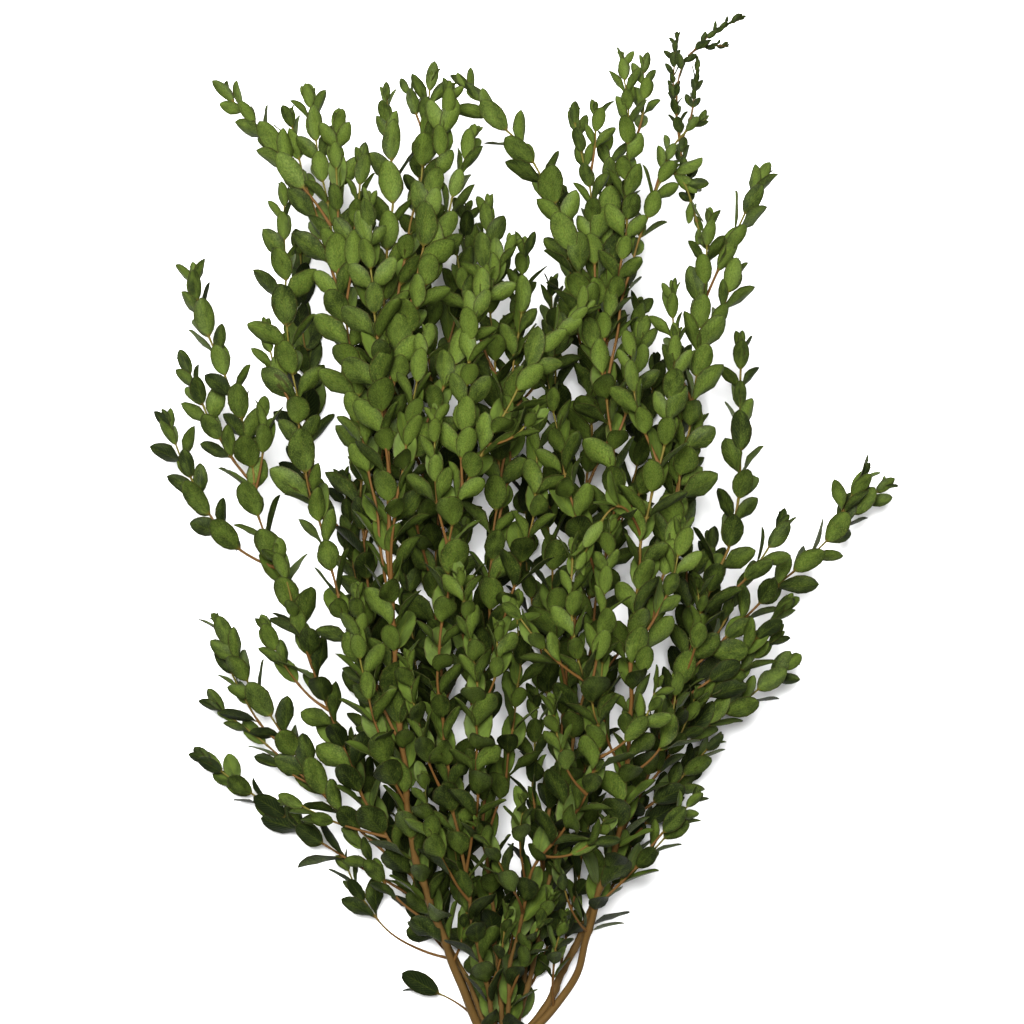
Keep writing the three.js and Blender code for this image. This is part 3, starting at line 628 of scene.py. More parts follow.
def fine_path(curve, before, seed):
    """The curve in short steps, with the slight wander that a grown shoot has."""
    points = np.vstack([*before, curve.spaced(fine_steps(curve))])
    path = Path(points)
    along = path.reach / path.length
    calm = np.minimum(along, 1 - along) * WANDER_CALM
    for k, waves in enumerate(WANDER_WAVES):
        size = WANDER * np.minimum(calm, 1) * min(path.length / WANDER_FULL, 1) / (k + 1)
        for axis in (0, 2):
            phase = draw(seed, k, axis + WANDER_DRAW)
            turns = waves * path.length / WANDER_FULL * along + phase
            path.points[:, axis] += size * np.sin(2 * math.pi * turns)
    return Path(path.points)


def stem_twig(stem, stem_index):
    """The stem itself, as the first of its twigs: its path in the plain model, and its fine one."""
    column, row = stem["tied"]
    x = TIE_X + column * STEM_PITCH
    z = BAND_THICKNESS + BAND_ROOM + STEM_HALF + row * STEM_PITCH
    curve = through([(x, FAN_Y, z), *stem["path"]])
    plain = Path([(x, BUTT_Y, z), *curve.spaced(round(curve.length / STEM_STEP))])
    straight = [(x, y, z) for y in np.arange(BUTT_Y, FAN_Y - 1, FINE_STEP)]
    return {
        "plain": plain, "fine": fine_path(curve, [straight], stem_index * TWIG_NUMBERS),
        "leaf_scale": 1, "bare_foot": 0,
        "plain_radius": (STEM_RADIUS, STEM_TIP_RADIUS), "stem": stem_index, "index": 0, "start": None,
        "leafless_below": stem.get("leafless_below", LEAFLESS_BELOW),
        "taper": SLENDER_TAPER if stem.get("slender") else 1,
    }


def shoot_twig(row, parent, stem_index, index):
    """A side shoot, which starts on its parent level with its fork."""
    distances = np.arange(0, parent["plain"].length)
    levels = np.interp(distances, parent["plain"].reach, parent["plain"].points[:, 1])
    distance = distances[np.argmin(np.abs(levels - row["fork_y"]))]
    share = distance / parent["plain"].length
    curve = bowed(parent["plain"].at(distance), row)
    bends = round(math.sqrt(row["bow"] @ row["bow"]) / BOW_STEP)
    steps = max(math.floor(curve.length / SHOOT_STEP + 0.5) + bends, 1)
    fine_start = parent["fine"].at(share * parent["fine"].length)
    size = FINE_SHOOT if row["leaf_scale"] < FINE_LEAF_SCALE else 1
    return {
        "plain": Path(curve.spaced(steps)),
        "fine": fine_path(bowed(fine_start, row), [], stem_index * TWIG_NUMBERS + index),
        "plain_radius": (SHOOT_RADIUS * size, SHOOT_TIP_RADIUS * size), "leaf_scale": row["leaf_scale"],
        "bare_foot": row["bare_foot"], "stem": stem_index, "index": index,
        "start": (parent["index"], share),
        "leafless_below": LEAFLESS_BELOW, "taper": 1,
    }


def twigs_of(stem, stem_index):
    twigs = [stem_twig(stem, stem_index)]
    for index, row in enumerate(stem["shoots"], start=1):
        twigs.append(shoot_twig(row, twigs[row["parent"]], stem_index, index))
    return twigs


def every_twig(twig_sets):
    return [twig for twigs in twig_sets for twig in twigs]


def pair_places(twig):
    """Places where a pair of leaves grows; growth is 0 at the tip and 1 where leaves are full-grown."""
    scale = twig["leaf_scale"]
    last = twig["plain"].length - LAST_PAIR * scale
    distance = last
    places = []
    while distance > max(FIRST_PAIR * scale, twig["bare_foot"]):
        growth = min((last - distance) / YOUNG_REACH, 1)
        if twig["plain"].at(distance)[1] > twig["leafless_below"]:
            places.append({"distance": distance, "growth": growth, "size": 1})
        distance -= mix(TIP_PAIR_STEP, PAIR_STEP, math.sqrt(growth)) * scale
    return places


def light_twist(flat, along, seed, leaf):
    """Leaves that would stand edge up turn part of the way towards the light at their base."""
    edge_on = 1 - abs(flat[2])
    sign = -1 if cross(along, flat)[2] > 0 else 1
    eager = draw(seed, leaf, 3)
    amount = LIGHT_TURN * (eager - LIGHT_OFFSET) if eager > LIGHT_LEAST else 0
    return sign * amount * edge_on + TWIST_SPREAD * (draw(seed, leaf, 6) - 0.5)


def leaf_frame(twig, place, pair, side, attempt):
    """One leaf: its base, the way its midrib runs, its upper side and its size."""
    path = twig["plain"]
    tangent = path.tangent(place["distance"])
    seed = twig["stem"] * TWIG_NUMBERS + twig["index"]
    leaf = pair * 2 + side
    across = unit(cross(tangent, (0, 0, 1)))
    rise = cross(across, tangent)
    jitter = TURN_SPREAD * (draw(seed, leaf, 1) - 0.5)
    quarter = (pair + twig["index"]) % 2
    turn = math.radians(90 * quarter + 180 * side + jitter + SWINGS[attempt])
    outward = across * math.cos(turn) + rise * math.sin(turn)
    spread = mix(TIP_LEAF_ANGLE, LEAF_ANGLE, math.sqrt(place["growth"]))
    opening = spread + ANGLE_SPREAD * (draw(seed, leaf, 2) - 0.5) - CLOSER_EACH_TRY * attempt
    angle = math.radians(opening)
    along = tangent * math.cos(angle) + outward * math.sin(angle)
    flat = tangent * math.sin(angle) - outward * math.cos(angle)
    size = mix(TIP_LEAF_LENGTH, LEAF_LENGTH, math.sqrt(place["growth"]))
    size = size * twig["leaf_scale"] * place["size"]
    length = size * (LENGTH_LEAST + LENGTH_SPREAD * draw(seed, leaf, 4))
    share = mix(TIP_LEAF_WIDTH_SHARE, LEAF_WIDTH_SHARE, place["growth"])
    width = length * share * (WIDTH_LEAST + WIDTH_SPREAD * draw(seed, leaf, 5))
    radius = plain_radius(twig, place["distance"] / path.length)
    root = radius * math.cos(math.pi / PLAIN_SIDES) - ROOT_DEPTH
    frame_of_leaf = {
        "base": path.at(place["distance"]) + outward * root, "along": along, "upper": flat,
        "twist": math.radians(light_twist(flat, along, seed, leaf)), "length": length, "width": width,
        "pressed": False, "twig": twig, "outward": outward, "place": place, "root": root,
        "seed": (seed, leaf),
    }
    rest_on_surface(frame_of_leaf)
    return frame_of_leaf


def rest_on_surface(leaf):
    """A leaf that would dip below the surface lies against it instead."""
    lowest = min(blade_spot(leaf, share, side)[2] for share in EDGE_SHARES for side in (1, -1))
    if lowest > SURFACE_ROOM:
        return
    level = unit(np.array([leaf["along"][0], leaf["along"][1], 0]))
    drop = min(leaf["base"][2] / leaf["length"], STEEPEST_PRESSED)
    run = math.sqrt(1 - drop * drop)
    sign = -1 if leaf["upper"][2] < 0 else 1
    leaf["along"] = level * run + np.array([0, 0, -drop])
    leaf["upper"] = (level * drop + np.array([0, 0, run])) * sign
    leaf["twist"] = 0
    leaf["pressed"] = True


def blade_axes(leaf, share):
    """The upper side and the width of a blade at a share of its length, as it turns about its midrib."""
    turn = leaf["twist"] * min(share / TWIST_DONE, 1)
    wide = cross(leaf["along"], leaf["upper"])
    cos, sin = math.cos(turn), math.sin(turn)
    return leaf["upper"] * cos + wide * sin, wide * cos - leaf["upper"] * sin


def blade_spot(leaf, share, side):
    """A spot on the plain blade: share of the length, and share of the half width."""
    upper, wide = blade_axes(leaf, share)
    bend = 0 if leaf["pressed"] else BACKWARD_CURVE * leaf["length"] * share * share
    rise = 0 if leaf["pressed"] else FOLD_RISE * leaf["width"] * abs(side)
    spot = leaf["base"] + leaf["along"] * leaf["length"] * share
    return spot + wide * leaf["width"] * side / 2 + upper * (rise - bend)


class Neighbours:
    """Everything placed so far, sorted into cells so that near neighbours are found quickly."""

    def __init__(self, room):
        self.room = room
        self.cells = {}

    def add(self, point, radius, twig, kind):
        x, y, z = (float(value) for value in point)
        cell = (int(x // CELL), int(y // CELL), int(z // CELL))
        self.cells.setdefault(cell, []).append((x, y, z, radius, twig["stem"], twig["index"], kind))

    def reach(self, entry, twig):
        radius, stem, index, kind = entry[3:]
        if stem != twig["stem"]:
            return radius + self.room["other_twig"] if kind == "twig" else self.room["other"]
        if index == twig["index"]:
            return 0
        return radius + self.room["same_twig"] if kind == "twig" else self.room["same"]

    def clear(self, point, twig):
        x, y, z = (float(value) for value in point)
        i, j, k = int(x // CELL), int(y // CELL), int(z // CELL)
        for a in (i - 1, i, i + 1):
            for b in (j - 1, j, j + 1):
                for c in (k - 1, k, k + 1):
                    for entry in self.cells.get((a, b, c), ()):
                        gap = (entry[0] - x) ** 2 + (entry[1] - y) ** 2 + (entry[2] - z) ** 2
                        if gap < self.reach(entry, twig) ** 2:
                            return False
        return True

    def add_twig(self, twig, path, radius_at):
        for distance in np.arange(0, path.length, TWIG_SAMPLE_STEP):
            self.add(path.at(distance), radius_at(twig, distance / path.length), twig, "twig")

    def add_leaf(self, leaf):
        for share, side in BLADE_SAMPLES:
            self.add(blade_spot(leaf, share, side), 0, leaf["twig"], "leaf")

    def has_room(self, leaf):
        return all(self.clear(blade_spot(leaf, *sample), leaf["twig"]) for sample in BLADE_SAMPLES)


def is_kept(twig, pair, side):
    """Whether the plain model has this leaf too."""
    return pair == 0 or (pair * 2 + side + twig["index"]) % KEEP_ONE_IN == 0


def placed(neighbours, twig, place, pair, side, settle):
    """The first of a leaf's ways to lie that has room, or None."""
    for attempt in range(len(SWINGS)):
        leaf = leaf_frame(twig, place, pair, side, attempt)
        if settle:
            seat_on_fine_twig(leaf)
        if neighbours.has_room(leaf):
            neighbours.add_leaf(leaf)
            return leaf
    return None


def seat_on_fine_twig(leaf):
    """Moves a leaf from the plain twig, which is thick and straight in stretches, to the fine one."""
    twig, distance = leaf["twig"], leaf["place"]["distance"]
    share = distance / twig["plain"].length
    centre = twig["fine"].at(share * twig["fine"].length)
    leaf["base"] = centre + leaf["outward"] * (twig_radius(twig, share) - FINE_ROOT)


def plain_radius(twig, share):
    """The radius of a plain twig at a share of its length."""
    return mix(*twig["plain_radius"], share ** twig["taper"])


def twig_radius(twig, share):
    """The radius of a fine twig at a share of its length."""
    low, high = twig["fine_radius"]
    return high + (low - high) * np.maximum(1 - share ** twig["taper"], 0) ** TAPER


def plain_leaves(twig_sets):
    """The leaves of the plain model, in its order, then seated on the fine twigs."""
    neighbours = Neighbours(PLAIN_ROOM)
    for twig in every_twig(twig_sets):
        neighbours.add_twig(twig, twig["plain"], plain_radius)
    found = {}
    for twig, place, pair, side in all_places(twig_sets):
        if is_kept(twig, pair, side):
            leaf = placed(neighbours, twig, place, pair, side, settle=False)
            if leaf:
                seat_on_fine_twig(leaf)
                found[twig["stem"], twig["index"], pair, side] = leaf
    return found


def all_places(twig_sets):
    """Each twig's places for a leaf: twig, place, number of the pair from the tip, and side."""
    for twig in every_twig(twig_sets):
        for pair, place in enumerate(pair_places(twig)):
            for side in (0, 1):
                yield twig, place, pair, side


def all_leaves(twig_sets):
    """The plain model's leaves, all the others that have room, and the youngest ones at the tips."""
    found = plain_leaves(twig_sets)
    neighbours = Neighbours(ADDED_ROOM)
    for twig in every_twig(twig_sets):
        neighbours.add_twig(twig, twig["fine"], twig_radius)
    for leaf in found.values():
        neighbours.add_leaf(leaf)
    leaves = list(found.values())
    for twig, place, pair, side in all_places(twig_sets):
        known = (twig["stem"], twig["index"], pair, side) in found or is_kept(twig, pair, side)
        if not known and not on_bare_foot(twig, place):
            leaves.append(placed(neighbours, twig, place, pair, side, settle=True))
    leaves = [leaf for leaf in leaves if leaf]
    for twig in every_twig(twig_sets):
        leaves.extend(tip_leaves(twig))
    return leaves


def on_bare_foot(twig, place):
    """Whether a place is low on one of the outer stems, where leaves were stripped off."""
    outer = twig["index"] == 0 and abs(STEMS[twig["stem"]]["tied"][0]) >= OUTER_COLUMN
    return outer and twig["plain"].at(place["distance"])[1] < OUTER_BARE_BELOW


def tip_leaves(twig):
    """The youngest pairs, closed round the end of a shoot."""
    leaves = []
    for step, (from_end, size) in enumerate(TIP_PAIRS, start=1):
        place = {
            "distance": twig["plain"].length - from_end * twig["leaf_scale"], "growth": 0, "size": size,
        }
        for side in (0, 1):
            leaf = leaf_frame(twig, place, -step, side, 0)
            seat_on_fine_twig(leaf)
            leaves.append(leaf)
    return leaves


def leaf_outline(t):
    """The half width of a blade at shares t of its length, as a share of the largest."""
    blade = np.clip((t - STALK_SHARE) / (1 - STALK_SHARE), 0, 1)
    return np.sin(math.pi * blade**WIDEST_EARLY) ** OUTLINE_FULLNESS


def leaf_mesh(leaf, form):
    """Points, faces and marks of one blade: a fine grid on each side, and a rim between them.

    The inner side faces the shoot, and the outer side, with the midrib in relief, faces away from it.
    """
    seed, number = leaf["seed"]
    own = [draw(seed, number, BLADE_DRAW + k) for k in range(BLADE_DRAWS)]
    t = LEAF_ROWS[:, None]
    s = LEAF_COLUMNS[None, :]
    length, width = leaf["length"], leaf["width"]
    stalk_half = STALK_HALF * min(1, length / LEAF_LENGTH + SMALLEST_STALK)
    half = np.maximum(width / 2 * leaf_outline(t), stalk_half)
    end = mix(half[-3, 0], TIP_HALF, smooth(TIP_SHARE, 1, t))
    half = np.where(t > TIP_SHARE, np.minimum(half, end), half)
    calm = PRESSED_CALM if leaf["pressed"] else 1
    fold = form.fold * (FOLD_RANGE[0] + FOLD_RANGE[1] * own[0]) * calm
    cup = np.abs(s) ** (1 + own[1]) * fold * half * 2
    phase = 2 * math.pi * (WAVES * t + own[2]) + math.pi * (s > 0) * own[3]
    wave = form.wave * width * np.sin(phase) * s**2
    curl = form.curl * (CURL_RANGE[0] + CURL_RANGE[1] * own[4]) * calm * length * t**2
    bent = HOOK_SIZE * np.clip(t - HOOK_FROM, 0, 1) ** 2
    hook = form.curl * (own[5] - HOOK_EVEN) * calm * length * bent
    sway = SWAY * (own[6] - 0.5) * length * t**2
    turn = leaf["twist"] * np.minimum(t / TWIST_DONE, 1)
    turn = turn + math.radians(TIP_TURN) * (own[7] - 0.5) * t * calm
    u, w0 = leaf["upper"], cross(leaf["along"], leaf["upper"])
    upper = u * np.cos(turn)[..., None] + w0 * np.sin(turn)[..., None]
    wide = w0 * np.cos(turn)[..., None] - u * np.sin(turn)[..., None]
    middle = np.exp(-(s / MIDRIB_HALF) ** 2)
    spine = leaf["base"] + leaf["along"] * (t * length)[..., None] + wide * sway[..., None]
    surface = spine + wide * (half * s)[..., None] + upper * (cup + wave - curl - hook)[..., None]
    stalk = 1 - smooth(STALK_SHARE * 0.5, STALK_SHARE * 2.5, t)
    body = form.thickness / MM * (1 - EDGE_THIN * s**2)
    round_stalk = STALK_HALF * STALK_FULL * np.sqrt(np.maximum(1 - s**2, 0.1))
    body = mix(body, np.maximum(round_stalk, body), stalk)
    ridge = form.midrib / MM * middle * (1 - t * RIDGE_FADE) * (1 - stalk)
    inner = surface + upper * (body / 2 - ridge * RIDGE_ABOVE)[..., None]
    outer = surface - upper * (body / 2 + ridge)[..., None]
    points = np.concatenate([inner.reshape(-1, 3), outer.reshape(-1, 3)])
    if leaf["pressed"] or points[:, 2].min() < 0:
        points[:, 2] = np.maximum(points[:, 2], 0)
        lift = np.arange(len(points)) < len(points) // 2
        points[lift, 2] = np.maximum(points[lift, 2], form.thickness / MM)
    shape = np.broadcast_shapes(t.shape, s.shape)
    place = np.stack([np.broadcast_to(s, shape), np.broadcast_to(t, shape),
                      np.full(shape, SEED_SPREAD * own[8])], axis=-1).reshape(-1, 3)
    count = len(place)
    tint = np.empty((2 * count, 3))
    # The leaf's own random tone mixed with painted shade: the lower its base lies in the bunch, the darker
    # it is coloured
    tone_and_depth_shade = OWN_TONE * own[9] + (1 - OWN_TONE) * np.clip(leaf["base"][2] / DEPTH_SHADE_HEIGHT, 0, 1)
    wispy = leaf["twig"]["leaf_scale"] < FINE_LEAF_SCALE
    # Wisps get a fixed tone. For the others the painted shade also holds back the young green, so tips low
    # in the bunch look full-grown
    tint[:, 0] = WISP_TONE if wispy else tone_and_depth_shade
    tint[:, 1] = 1 if wispy else mix(1, leaf["place"]["growth"], tone_and_depth_shade)
    tint[:count, 2] = 1
    tint[count:, 2] = 0
    return points, LEAF_FACES, np.concatenate([place, place]), tint


def leaf_faces(rows, columns):
    """The quads of a blade: its inner side, its outer side, and round its rim."""
    spot = np.arange(rows * columns).reshape(rows, columns)
    a, b, c, d = spot[:-1, :-1], spot[1:, :-1], spot[1:, 1:], spot[:-1, 1:]
    inner = np.stack([a, d, c, b], axis=-1).reshape(-1, 4)
    outer = np.stack([a, b, c, d], axis=-1).reshape(-1, 4) + rows * columns
    rim = np.concatenate([spot[0, :], spot[1:, -1], spot[-1, -2::-1], spot[-2:0:-1, 0]])
    after = np.roll(rim, -1)
    sides = np.stack([rim, rim + rows * columns, after + rows * columns, after], axis=-1)
    return np.concatenate([inner, outer, sides])


LEAF_FACES = leaf_faces(len(LEAF_ROWS), len(LEAF_COLUMNS))


def twig_mesh(twig, pairs):
    """Points, faces and marks of one twig: a ring at each point of its fine path, closed at both ends."""
    path = twig["fine"]
    sides = STEM_SIDES if twig["index"] == 0 else SHOOT_SIDES
    share = path.reach / path.length
    radius = twig_radius(twig, share)
    for distance in pairs:
        knot = np.exp(-((path.reach - distance) / KNOT_HALF) ** 2)
        radius = radius * (1 + KNOT_SWELL * knot)
    if twig["start"]:
        radius = radius * (1 + FORK_SWELL * np.exp(-((path.reach / FORK_REACH) ** 2)))
    radius[-1] *= END_ROUND
    ahead = np.vstack([path.points[1:], path.points[-1:]])
    behind = np.vstack([path.points[:1], path.points[:-1]])
    tangent = ahead - behind
    tangent /= np.linalg.norm(tangent, axis=1)[:, None]
    across = np.cross(tangent, (0, 0, 1))
    across /= np.linalg.norm(across, axis=1)[:, None]
    rise = np.cross(across, tangent)
    turn = 2 * math.pi * np.arange(sides) / sides
    seed = twig["stem"] * TWIG_NUMBERS + twig["index"]
    lumps_round = np.sin(LUMPS_ROUND * turn + seed)[None, :]
    lumps = 1 + LUMP * lumps_round * np.sin(path.reach / LUMP_REACH + seed)[:, None]
    size = radius[:, None] * lumps
    ring = (path.points[:, None, :] + across[:, None, :] * (size * np.cos(turn))[..., None]
            + rise[:, None, :] * (size * np.sin(turn))[..., None])
    count = len(path.points)
    points = ring.reshape(-1, 3)
    spot = np.arange(count * sides).reshape(count, sides)
    after = np.roll(spot, -1, axis=1)
    walls = np.stack([spot[:-1], spot[1:], after[1:], after[:-1]], axis=-1).reshape(-1, 4)
    place = np.stack([
        np.broadcast_to(np.cos(turn), (count, sides)), np.broadcast_to(np.sin(turn), (count, sides)),
        np.broadcast_to(path.reach[:, None], (count, sides)),
    ], axis=-1).reshape(-1, 3)
    age = twig_age(twig, share)
    tint = np.zeros((count * sides, 3))
    tint[:, 0] = np.repeat(age, sides)
    tint[:, 1] = draw(seed, 0, TWIG_DRAW)
    caps = []
    for row, order in ((0, 1), (count - 1, -1)):
        ends = len(points) + np.arange(sides)
        points = np.vstack([points, ring[row], path.points[row]])
        marks = np.stack([np.cos(turn), np.sin(turn), np.zeros(sides)], axis=-1)
        place = np.vstack([place, marks, (0, 0, 0)])
        cut = 1 if row == 0 and twig["index"] == 0 else 0
        tint = np.vstack([tint, np.tile((age[row], 0, cut), (sides + 1, 1))])
        middle = ends[-1] + 1
        fan = [(ends[k], ends[(k + 1) % sides], middle)[::order] for k in range(sides)]
        caps.extend(fan)
    points[:, 2] = np.maximum(points[:, 2], 0)
    return points, walls, np.array(caps), place, tint


def twig_age(twig, share):
    """0 for the green end of a shoot, up to 1 for the old wood at the cut ends."""
    if twig["index"] == 0:
        return 1 - YOUNGER_BY * smooth(*STEM_YOUNG, share)
    if twig["leaf_scale"] < FINE_LEAF_SCALE:
        return np.full_like(share, WISP_AGE)
    _, parent_share = twig["start"]
    return mix(*SHOOT_OLDEST, parent_share) * (1 - YOUNGER_BY * smooth(*SHOOT_YOUNG, share))


class Graph:
    """Builds a material's nodes: each call adds one and gives its output."""

    def __init__(self, name):
        self.material = bpy.data.materials.new(name)
        self.material.use_nodes = True
        self.nodes = self.material.node_tree.nodes
        self.links = self.material.node_tree.links
        self.shader = self.nodes["Principled BSDF"]

    def put(self, socket, value):
        if isinstance(value, bpy.types.NodeSocket):
            self.links.new(value, socket)
        elif hasattr(value, "__len__") and len(value) == 3 and len(socket.default_value) == 4:
            socket.default_value = (*value, 1)
        else:
            socket.default_value = value

    def add(self, kind, output=0, inputs=(), **settings):
        node = self.nodes.new(kind)
        for name, value in settings.items():
            setattr(node, name, value)
        for key, value in dict(inputs).items():
            self.put(node.inputs[key], value)
        return node.outputs[output]

    def attribute(self, name):
        return self.add("ShaderNodeAttribute", "Vector", attribute_name=name)

    def parts(self, vector):
        node = self.nodes.new("ShaderNodeSeparateXYZ")
        self.links.new(vector, node.inputs[0])
        return node.outputs[0], node.outputs[1], node.outputs[2]

    def vector(self, x, y, z):
        return self.add("ShaderNodeCombineXYZ", 0, {0: x, 1: y, 2: z})

    def math(self, operation, a, b=0.0):
        return self.add("ShaderNodeMath", 0, {0: a, 1: b}, operation=operation)

    def span(self, value, low, high, start=0.0, end=1.0):
        """Turns low to high into start to end, smoothly, and holds it there outside."""
        inputs = {"Value": value, "From Min": low, "From Max": high, "To Min": start, "To Max": end}
        return self.add("ShaderNodeMapRange", 0, inputs, interpolation_type="SMOOTHSTEP")

    def blend(self, share, a, b):
        inputs = {0: share, 6: a, 7: b}
        return self.add("ShaderNodeMix", 2, inputs, data_type="RGBA")

    def noise(self, vector, scale, detail=3.0, roughness=0.55):
        inputs = {"Vector": vector, "Scale": scale, "Detail": detail, "Roughness": roughness}
        return self.add("ShaderNodeTexNoise", 0, inputs)

    def bump(self, height, distance, strength=1.0):
        inputs = {"Height": height, "Distance": distance, "Strength": strength}
        return self.add("ShaderNodeBump", 0, inputs)

    def finish(self, colour, roughness, normal=None, **sockets):
        self.put(self.shader.inputs["Base Color"], colour)
        self.put(self.shader.inputs["Roughness"], roughness)
        if normal is not None:
            self.put(self.shader.inputs["Normal"], normal)
        for name, value in sockets.items():
            self.put(self.shader.inputs[name.replace("_", " ")], value)
        return self.material


def leaf_material(form):
    """Matt leaves: dark to mid green by leaf, with painted shade that darkens leaves lower in the bunch,
    fine veins, paler inner sides and a thin brown rim.
    """
    g = Graph("eucalyptus_leaf")
    across, along, seed = g.parts(g.attribute("place"))
    tone_and_depth_shade, growth, inner_side = g.parts(g.attribute("tint"))
    off_middle = g.math("ABSOLUTE", across)
    spot = g.vector(g.math("MULTIPLY", across, SPOT_WIDE), along, seed)
    cloud = g.noise(spot, CLOUD_SCALE, 4)
    grain = g.noise(spot, GRAIN_SCALE, 3, 0.7)
    fleck = g.noise(spot, FLECK_SCALE, 2, 0.6)
    worn = g.noise(spot, WORN_SCALE, 2)
    # shade: the leaf's tone with its painted shade low in the bunch, plus cloudy patches of the blade's
    # own
    shade = g.math("ADD", tone_and_depth_shade, g.math("MULTIPLY", g.math("SUBTRACT", cloud, 0.5), CLOUD_SHADE))
    slant = g.math("SUBTRACT", along, g.math("MULTIPLY", off_middle, VEIN_SLANT))
    wave = g.math("SINE", g.math("MULTIPLY", slant, VEIN_COUNT))
    vein = g.math("MULTIPLY", g.span(wave, 0.72, 1.0), g.span(off_middle, 0.95, 0.4))
    midrib = g.math("MULTIPLY", g.span(off_middle, 0.1, 0.03), g.span(along, 1.0, 0.7))

    # Dark to light green by shade, so leaves low in the bunch are painted darker
    outer = g.blend(g.span(shade, 0.1, 0.95), form.dark_green, form.light_green)
    outer = g.blend(g.span(growth, 0.0, 0.5, 0.55, 0.0), outer, form.young_green)
    outer = g.blend(g.span(off_middle, 0.3, 1.0, 0.0, 0.5), outer, form.dark_green)
    outer = g.blend(g.span(grain, 0.35, 0.7, 0.0, 0.5), outer, form.dark_green)
    flecks = g.math("MULTIPLY", g.span(fleck, 0.5, 0.7, 0.0, 0.7), g.span(shade, -0.1, 0.7))
    outer = g.blend(flecks, outer, form.speckle)
    outer = g.blend(g.math("MULTIPLY", vein, VEIN_SHOWS), outer, form.vein)
    outer = g.blend(g.math("MULTIPLY", midrib, VEIN_SHOWS), outer, form.vein)

    # The inner side is also painted darker on leaves low in the bunch
    inner = g.blend(g.span(shade, -0.2, 0.45), form.dark_green, form.underside)
    inner = g.blend(g.math("MULTIPLY", vein, VEIN_SHOWS_INSIDE), inner, form.vein)
    lighter = g.math("MULTIPLY", g.span(cloud, 0.35, 0.65, 0.0, 0.5), g.span(shade, 0.1, 0.6))
    inner = g.blend(lighter, inner, form.light_green)
    inner = g.blend(g.math("MULTIPLY", midrib, MIDRIB_SHOWS_INSIDE), inner, form.vein)

    colour = g.blend(inner_side, outer, inner)
    stained = g.noise(g.vector(across, along, g.math("ADD", seed, BLEMISH_SEED)), BLEMISH_SCALE, 2)
    colour = g.blend(g.math("MULTIPLY", g.span(stained, 0.70, 0.76), BLEMISH_SHOWS), colour, form.rim)
    rim = g.math("MAXIMUM", g.span(off_middle, 0.84, 1.0), g.span(along, 0.95, 1.0))
    rim = g.math("MULTIPLY", rim, g.span(worn, 0.3, 0.65, 0.25, 0.9))
    colour = g.blend(rim, colour, form.rim)
    colour = g.blend(g.math("MULTIPLY", g.span(along, 0.13, 0.02), STALK_SHOWS), colour, form.stalk)
    relief = g.math("SUBTRACT", g.math("MULTIPLY", grain, 0.6), g.math("MULTIPLY", vein, 0.8))
    roughness = g.span(grain, 0.2, 0.8, 0.5, 0.68)
    return g.finish(colour, roughness, g.bump(relief, BLADE_RELIEF, 0.8), Specular_IOR_Level=BLADE_GLOSS)


def bark_material(form):
    """Bark by age: green and yellow on young shoots, orange-brown later, brown and cracked low down."""
    g = Graph("eucalyptus_bark")
    x, y, along = g.parts(g.attribute("place"))
    age, seed, cut = g.parts(g.attribute("tint"))
    shift = g.math("MULTIPLY", seed, BARK_SEED)
    drawn_out = g.math("ADD", g.math("MULTIPLY", along, STREAK_STRETCH), shift)
    streaks = g.noise(g.vector(x, y, drawn_out), STREAK_SCALE, 5, 0.6)
    drawn_out = g.math("ADD", g.math("MULTIPLY", along, PATCH_STRETCH), shift)
    patches = g.noise(g.vector(g.math("MULTIPLY", x, 0.3), y, drawn_out), PATCH_SCALE)
    warmth = g.math("ADD", age, g.math("MULTIPLY", g.math("SUBTRACT", patches, 0.5), PATCH_AGE))
    colour = g.blend(g.span(warmth, 0.04, 0.3), form.green, form.orange)
    colour = g.blend(g.span(warmth, 0.45, 0.95), colour, form.brown)
    colour = g.blend(g.span(streaks, 0.42, 0.68, 0.0, 0.55), colour, form.brown)
    colour = g.blend(g.span(streaks, 0.25, 0.4, 0.35, 0.0), colour, form.pale)
    wood = g.noise(g.vector(x, y, 0.0), WOOD_SCALE, 2)
    colour = g.blend(g.math("MULTIPLY", cut, g.span(wood, 0.2, 0.7, 1.0, 0.8)), colour, form.cut)
    normal = g.bump(streaks, BARK_RELIEF, g.span(age, 0.0, 1.0, 0.25, 1.0))
    roughness = g.span(streaks, 0.2, 0.8, 0.55, 0.8)
    return g.finish(colour, roughness, normal, Specular_IOR_Level=BARK_GLOSS)


def band_material(form):
    """A matt rubber band, slightly paler in patches of bloom."""
    g = Graph("rubber_band")
    x, y, along = g.parts(g.attribute("place"))
    dust = g.noise(g.vector(x, y, along), 1.1, 5, 0.7)
    colour = g.blend(g.span(dust, 0.35, 0.7, 0.0, 0.35), form.colour, form.dust)
    roughness = g.span(dust, 0.3, 0.7, 0.55, 0.75)
    return g.finish(colour, roughness, g.bump(dust, RUBBER_RELIEF), Specular_IOR_Level=RUBBER_GLOSS)


def floor_material(form):
    """A plain pale floor with hardly visible unevenness."""
    g = Graph("pale_floor")
    position = g.add("ShaderNodeTexCoord", "Object")
    uneven = g.span(g.noise(position, 1.5), 0.4, 0.6, 0.0, 0.02)
    return g.finish(g.blend(uneven, form.floor_colour, form.floor_shade), FLOOR_ROUGHNESS)


def length_property(name, description, default, **limits):
    return FloatProperty(
        name=name, description=description, default=default, min=0, subtype="DISTANCE", unit="LENGTH",
        precision=5, **limits,
    )


def colour_property(name, description, default):
    return FloatVectorProperty(
        name=name, description=description, default=default, size=3, min=0, max=1, subtype="COLOR",
    )


def share_property(name, description, default):
    return FloatProperty(
        name=name, description=description, default=default, min=0, max=1, subtype="FACTOR",
    )


def power_property(name, description, default):
    return FloatProperty(name=name, description=description, default=default, min=0, unit="POWER")


